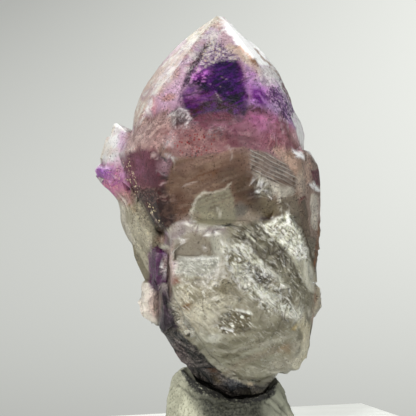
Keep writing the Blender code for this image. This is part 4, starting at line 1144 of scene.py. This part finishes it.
class Socket:
    """What a node puts out. Sums with it add Math nodes."""

    def __init__(self, tree, link):
        self.tree = tree
        self.link = link

    __add__ = __radd__ = sum_of("ADD")
    __sub__ = sum_of("SUBTRACT")
    __rsub__ = sum_of("SUBTRACT", swapped=True)
    __mul__ = __rmul__ = sum_of("MULTIPLY")
    __truediv__ = sum_of("DIVIDE")
    __rtruediv__ = sum_of("DIVIDE", swapped=True)
    least = sum_of("MINIMUM")
    most = sum_of("MAXIMUM")

    def fract(self):
        """What is left of it above the whole number below."""
        return self.tree.add("ShaderNodeMath", {"operation": "FRACT"}, (self,))

    def soft(self, low, high):
        """0 at low, 1 at high, with soft ends. low may be above high."""
        return self.tree.add(
            "ShaderNodeMapRange",
            {"interpolation_type": "SMOOTHSTEP"},
            {"Value": self, "From Min": low, "From Max": high},
        )


class Tree:
    """The nodes of one material or world."""

    def __init__(self, owner):
        owner.use_nodes = True
        self.nodes = owner.node_tree.nodes
        self.links = owner.node_tree.links

    def add(self, kind, settings=None, values=(), out=0):
        """A new node of a kind, with its settings made first and then its values or links."""
        node = self.nodes.new(kind)
        for name, value in (settings or {}).items():
            setattr(node, name, value)
        pairs = values.items() if isinstance(values, dict) else enumerate(values)
        for key, value in pairs:
            if isinstance(value, Socket):
                self.links.new(value.link, node.inputs[key])
            elif isinstance(value, tuple) and len(value) == 3 and node.inputs[key].type == "RGBA":
                node.inputs[key].default_value = (*value, 1)
            else:
                node.inputs[key].default_value = value
        return Socket(self, node.outputs[out]) if node.outputs else None

    def object_place(self):
        """The place on the piece, in millimetres."""
        coordinates = self.add("ShaderNodeTexCoord", out="Object")
        return self.vector("SCALE", coordinates, scale=1 / MM)

    def vector(self, operation, one, other=None, scale=None):
        values = {0: one}
        if other is not None:
            values[1] = other
        if scale is not None:
            values["Scale"] = scale
        return self.add("ShaderNodeVectorMath", {"operation": operation}, values)

    def axes(self, place):
        separate = self.add("ShaderNodeSeparateXYZ", values=[place])
        outputs = separate.link.node.outputs
        return [Socket(self, outputs[i]) for i in range(3)]

    def clouds(self, place, size, detail=3.0, roughness=0.55, out="Fac"):
        """Soft uneven values, mostly from 0.3 to 0.7, with lumps of a size in millimetres."""
        values = {"Vector": place, "Scale": 1 / size, "Detail": detail, "Roughness": roughness}
        return self.add("ShaderNodeTexNoise", None, values, out)

    def cells(self, place, size, out="Distance"):
        values = {"Vector": place, "Scale": 1 / size}
        return self.add("ShaderNodeTexVoronoi", None, values, out)

    def slanting(self, place, turn, stretch):
        """The place for a pattern that runs down to the right by some degrees, stretched three ways."""
        values = {"Vector": place, "Rotation": (0, math.radians(turn), 0), "Scale": stretch}
        return self.add("ShaderNodeMapping", {"vector_type": "TEXTURE"}, values)

    def stirred(self, place, size, amount):
        """The place moved about unevenly by some millimetres, so that edges wander."""
        drift = self.clouds(place, size, 2.0, out="Color")
        centred = self.vector("SUBTRACT", drift, (0.5, 0.5, 0.5))
        return self.vector("ADD", place, self.vector("SCALE", centred, scale=2 * amount))

    def mixed(self, share, one, other):
        """A colour that turns from one to other as the share goes from 0 to 1."""
        settings = {"data_type": "RGBA"}
        values = {"Factor": share, 6: one, 7: other}
        return self.add("ShaderNodeMix", settings, values, 2)

    def bump(self, relief):
        """Which way a surface faces with a relief on it, in millimetres."""
        values = {"Strength": 1.0, "Distance": MM, "Height": relief}
        return self.add("ShaderNodeBump", None, values, "Normal")

    def painted(self, name):
        """What is painted on the piece's points under a name: its colour, and its four parts."""
        colour = self.add("ShaderNodeAttribute", {"attribute_name": name}, out="Color")
        parts = self.add("ShaderNodeSeparateColor", values=[colour])
        outputs = parts.link.node.outputs
        fourth = Socket(self, colour.link.node.outputs["Alpha"])
        return colour, [Socket(self, outputs[i]) for i in range(3)] + [fourth]

    def shader(self, kind, values):
        return self.add(kind, None, values)

    def finish(self, surface, **more):
        """Makes surface what the material shows, with a volume in it where one is given."""
        self.add("ShaderNodeOutputMaterial", None, {"Surface": surface, **more})


def new_material(name):
    material = bpy.data.materials.new(name)
    tree = Tree(material)
    tree.nodes.clear()
    return material, tree


def quartz_finish():
    """Colour in the stone, grains and specks in it, and a surface between frosted and clear."""
    material, tree = new_material("quartz_finish")
    place = tree.object_place()
    colour, (_, _, _, lit) = tree.painted("colour")
    _, (frost, dense, grit, fleck) = tree.painted("nature")
    _, (red, gold, black, white) = tree.painted("specks")
    grain = tree.clouds(place, 0.4, 4.0, 0.75)
    fine = tree.clouds(place, 0.24, 2.0, 0.7)
    mottle = tree.clouds(place, 1.5, 4.0, 0.65)
    slivers = tree.clouds(tree.slanting(place, 40, (1.5, 0.8, 0.38)), 1.0, 3.0, 0.62)
    clumps = tree.clouds(place, 2.0, 3.0, 0.6).soft(0.4, 0.62)
    grit = grit * (0.3 + clumps * 1.3)
    calm = 1 - white
    dusky = tree.vector("MULTIPLY", colour, (0.5, 0.46, 0.5))
    colour = tree.mixed(mottle.soft(0.6, 0.35) * 0.35 * calm, colour, dusky)
    deep = tree.vector("MULTIPLY", colour, (0.28, 0.24, 0.28))
    pale = tree.vector("ADD", tree.vector("MULTIPLY", colour, (1.75, 1.75, 1.7)), (0.005, 0.005, 0.005))
    pale = tree.vector("MINIMUM", pale, (0.95, 0.94, 0.92))
    dark_grit = grain.soft(0.5, 0.32).most(fine.soft(0.44, 0.3) * 0.8)
    pale_grit = grain.soft(0.54, 0.7).most(fine.soft(0.58, 0.72) * 0.8)
    colour = tree.mixed((dark_grit * grit).least(0.9), colour, deep)
    colour = tree.mixed((pale_grit * grit * 1.3).least(1.0), colour, pale)
    # Along the slivers, dark flecks are painted shade and bright ones painted glints.
    shaded = tree.vector("MULTIPLY", colour, (0.42, 0.4, 0.36))
    colour = tree.mixed(slivers.soft(0.47, 0.34) * fleck * 0.8, colour, shaded)
    colour = tree.mixed((slivers.soft(0.54, 0.66) * fleck).least(1.0), colour, (0.93, 0.92, 0.83))

    # Fine stripes on the step at the right
    _, (striped, _, _, _) = tree.painted("marks")
    x, _, z = tree.axes(place)
    ribs = (x * -0.5 - z) / 0.78 + tree.clouds(place, 2.5) * 0.9 + grain * 0.4
    rib = ribs.fract()
    fine_rib = (ribs * 2.3 + 0.3).fract()
    striped = striped * (0.45 + clumps * 0.55)
    colour = tree.mixed(rib.soft(0.62, 0.85) * striped * 0.8, colour, (0.46, 0.43, 0.38))
    colour = tree.mixed(fine_rib.soft(0.6, 0.9) * striped * 0.35, colour, (0.38, 0.34, 0.3))
    colour = tree.mixed(rib.soft(0.35, 0.1) * striped * 0.55, colour, (0.09, 0.07, 0.05))

    # Specks
    loose = tree.stirred(place, 0.6, 0.25)
    speck = tree.cells(loose, 0.42)
    pick = tree.axes(tree.cells(loose, 0.42, "Color"))
    dot = speck.soft(0.5, 0.25)
    black_grains = tree.clouds(place, 0.3, 3.0, 0.7).soft(0.47, 0.57) * black
    colour = tree.mixed(black_grains * 0.85, colour, paint(46, 34, 50))
    colour = tree.mixed(dot * pick[0].soft(0.68, 0.72) * red, colour, paint(124, 30, 26))
    colour = tree.mixed(dot * pick[1].soft(0.6, 0.66) * gold, colour, paint(206, 190, 156))

    clarity = (0.4 - frost * 0.36 - fleck * 0.1) * (1 - dense) * calm
    depth = (0.3 + lit * 0.4) * (1 - frost * 0.6) * (1 - dense) * calm
    relief = grain * 0.06 + fine * 0.03 * grit + slivers * 0.22 * fleck
    relief = relief + grain * 0.1 * dense + rib * 0.05 * striped
    shared = {"Base Color": colour, "Normal": tree.bump(relief), "IOR": QUARTZ_IOR}
    milky = tree.shader(
        "ShaderNodeBsdfPrincipled",
        {
            **shared,
            "Roughness": 0.12 + grain * 0.2 + frost * 0.3,
            "Specular IOR Level": 0.22,
            "Subsurface Weight": 0.4,
            "Subsurface Radius": (1.0, 0.9, 1.0),
            "Subsurface Scale": 0.0008,
        },
    )
    clear = tree.shader(
        "ShaderNodeBsdfPrincipled",
        {**shared, "Roughness": 0.16 + grain * 0.3 + frost * 0.2, "Transmission Weight": 1.0},
    )
    deep_stone = tree.shader(
        "ShaderNodeBsdfPrincipled",
        {
            **shared,
            "Roughness": 0.14 + grain * 0.15,
            "Specular IOR Level": 0.5,
            "Subsurface Weight": 1.0,
            "Subsurface Radius": (1.0, 0.95, 0.9),
            "Subsurface Scale": 0.0035,
        },
    )
    solid = tree.shader("ShaderNodeMixShader", {0: depth, 1: milky, 2: deep_stone})
    whole = tree.shader("ShaderNodeMixShader", {0: clarity, 1: solid, 2: clear})
    haze = tree.shader(
        "ShaderNodeVolumeAbsorption", {"Color": (0.80, 0.76, 0.78), "Density": QUARTZ_DENSITY}
    )
    tree.finish(whole, Volume=haze)
    return material


def putty_finish():
    """Dull grey-green putty with grit in it, a painted shadow under the foot, and painted shade on the
    pressed lobe, in the creases and at the rim around the foot.
    """
    material, tree = new_material("putty_finish")
    place = tree.object_place()
    wide = tree.clouds(place, 3.5, 4.0, 0.6)
    grit = tree.clouds(place, 0.45, 4.0, 0.75)
    _, (shadow, pressed_and_shaded, crease_shade, rim_shade) = tree.painted("shade")
    colour = tree.mixed(wide.soft(0.38, 0.62), linear(150, 149, 129), linear(178, 177, 155))
    colour = tree.mixed(grit.soft(0.5, 0.34) * 0.8, colour, linear(86, 86, 70))
    colour = tree.mixed(grit.soft(0.56, 0.7) * 0.6, colour, linear(210, 210, 190))
    # Painted shade: the pressed lobe at the right is darker, as the light falls from the left.
    colour = tree.mixed(pressed_and_shaded * 0.9, colour, linear(124, 125, 110))
    colour = tree.mixed(shadow * (0.88 + grit.soft(0.6, 0.4) * 0.12), colour, linear(19, 20, 8))
    # Painted shade in the creases.
    colour = tree.mixed(crease_shade * 0.6, colour, linear(60, 60, 50))
    # Painted shade: near black on the rim around the foot.
    colour = tree.mixed((rim_shade * grit.soft(0.7, 0.3) * 3.5).least(0.98), colour, linear(12, 10, 7))
    relief = grit * 0.12 + tree.clouds(place, 0.2, 2.0) * 0.04
    clay = tree.shader(
        "ShaderNodeBsdfPrincipled",
        {
            "Base Color": colour,
            "Roughness": 0.62 + grit * 0.2,
            "Normal": tree.bump(relief),
            "IOR": PUTTY_IOR,
        },
    )
    tree.finish(clay)
    return material


def table_finish():
    """White board with faint streaks."""
    material, tree = new_material("table_finish")
    place = tree.object_place()
    long = tree.vector("MULTIPLY", place, (0.12, 1.0, 1.0))
    streak = tree.clouds(long, 3.0, 4.0, 0.6)
    colour = tree.mixed(streak.soft(0.35, 0.65), linear(220, 222, 217), linear(236, 238, 233))
    board = tree.shader(
        "ShaderNodeBsdfPrincipled",
        {
            "Base Color": colour,
            "Roughness": 0.35 + streak * 0.25,
            "Emission Color": colour,
            "Emission Strength": TABLE_GLOW,
        },
    )
    tree.finish(board)
    return material


# The stage


def make_table():
    bpy.ops.object.select_all(action="DESELECT")
    turn = Vector((math.cos(TABLE_TURN), math.sin(TABLE_TURN)))
    across = Vector((-turn.y, turn.x))
    corner = Vector(TABLE_CORNER)
    middle = corner - (turn + across) * TABLE_SIDE / 2
    bpy.ops.mesh.primitive_cube_add(
        size=1,
        location=(middle.x * MM, middle.y * MM, -TABLE_THICKNESS / 2 * MM),
        rotation=(0, 0, TABLE_TURN),
        scale=(TABLE_SIDE * MM, TABLE_SIDE * MM, TABLE_THICKNESS * MM),
    )
    table = bpy.context.object
    table.name = "table"
    bpy.ops.object.transform_apply(location=True, rotation=True, scale=True)
    apply(table, "BEVEL", width=0.6 * MM, segments=3)
    bpy.ops.object.shade_smooth_by_angle(angle=math.radians(40))
    table.data.materials.append(table_finish())


def make_world():
    """Pale grey all round, lighter to the right and upwards. The crystal itself sees a darker room in
    front of it than behind."""
    world = bpy.data.worlds.new("studio")
    bpy.context.scene.world = world
    tree = Tree(world)
    tree.nodes.clear()
    way = tree.add("ShaderNodeTexCoord", out="Generated")
    x, y, z = tree.axes(way)
    # right runs from about 0 to 1 over the frame's width, and lower from -1 to 1 down its height.
    right = x * 4.65 + 0.495
    lower = (z + 0.035) * -8.5
    seen = right * 0.164 + 0.612 + (0.019 - right * 0.142) * lower
    seen = seen + (right * 0.05 - 0.142) * lower * lower
    seen = seen.most(BACKDROP_DARKEST).least(BACKDROP_BRIGHTEST)
    behind_right = x.soft(0.15, 0.5) * y.soft(0.2, 0.6)
    felt = 0.22 + y.soft(-0.5, 0.5) * 0.42 - z.soft(0.25, 0.95) * 0.26 - behind_right * 0.4
    felt = felt.most(ROOM_DARKEST)
    camera_ray = tree.add("ShaderNodeLightPath", out="Is Camera Ray")
    strength = camera_ray * seen + (1 - camera_ray) * felt
    grey = tree.shader("ShaderNodeBackground", {"Color": (1.0, 1.02, 0.97), "Strength": strength})
    tree.add("ShaderNodeOutputWorld", None, {"Surface": grey})


def area_light(name, place, size, power):
    """A soft box at a place that shines at the middle of the crystal."""
    light = bpy.data.lights.new(name, "AREA")
    light.shape = "RECTANGLE"
    light.size, light.size_y = size
    light.energy = power
    box = bpy.data.objects.new(name, light)
    box.location = place
    box.rotation_euler = (AIM - box.location).to_track_quat("-Z", "Y").to_euler()
    bpy.context.scene.collection.objects.link(box)


# The soft boxes: name, place and size in metres, power in watts
LIGHTS = (
    ("key", (-0.16, -0.38, 0.24), (0.08, 0.08), 2.1),
    ("fill", (0.28, -0.32, 0.14), (0.3, 0.3), 0.75),
    ("back_left", (-0.20, 0.28, 0.30), (0.12, 0.12), 0.35),
    ("back_right", (0.163, 0.338, 0.255), (0.06, 0.06), 0.07),
)


def make_camera():
    camera = bpy.data.cameras.new("camera")
    camera.sensor_width = SENSOR
    camera.lens = SENSOR * CAMERA_DISTANCE / FRAME_WIDTH
    camera.clip_start = 0.01
    camera.clip_end = 20.0
    stand = bpy.data.objects.new("camera", camera)
    back = Vector((0, -math.cos(CAMERA_ELEVATION), math.sin(CAMERA_ELEVATION)))
    stand.location = AIM + back * CAMERA_DISTANCE
    stand.rotation_euler = (-back).to_track_quat("-Z", "Y").to_euler()
    bpy.context.scene.collection.objects.link(stand)
    bpy.context.scene.camera = stand


quartz = make_quartz()
putty = make_putty()
quartz.data.materials.append(quartz_finish())
putty.data.materials.append(putty_finish())
make_table()
make_world()
for light in LIGHTS:
    area_light(*light)
make_camera()
bpy.context.scene.view_settings.view_transform = "Standard"
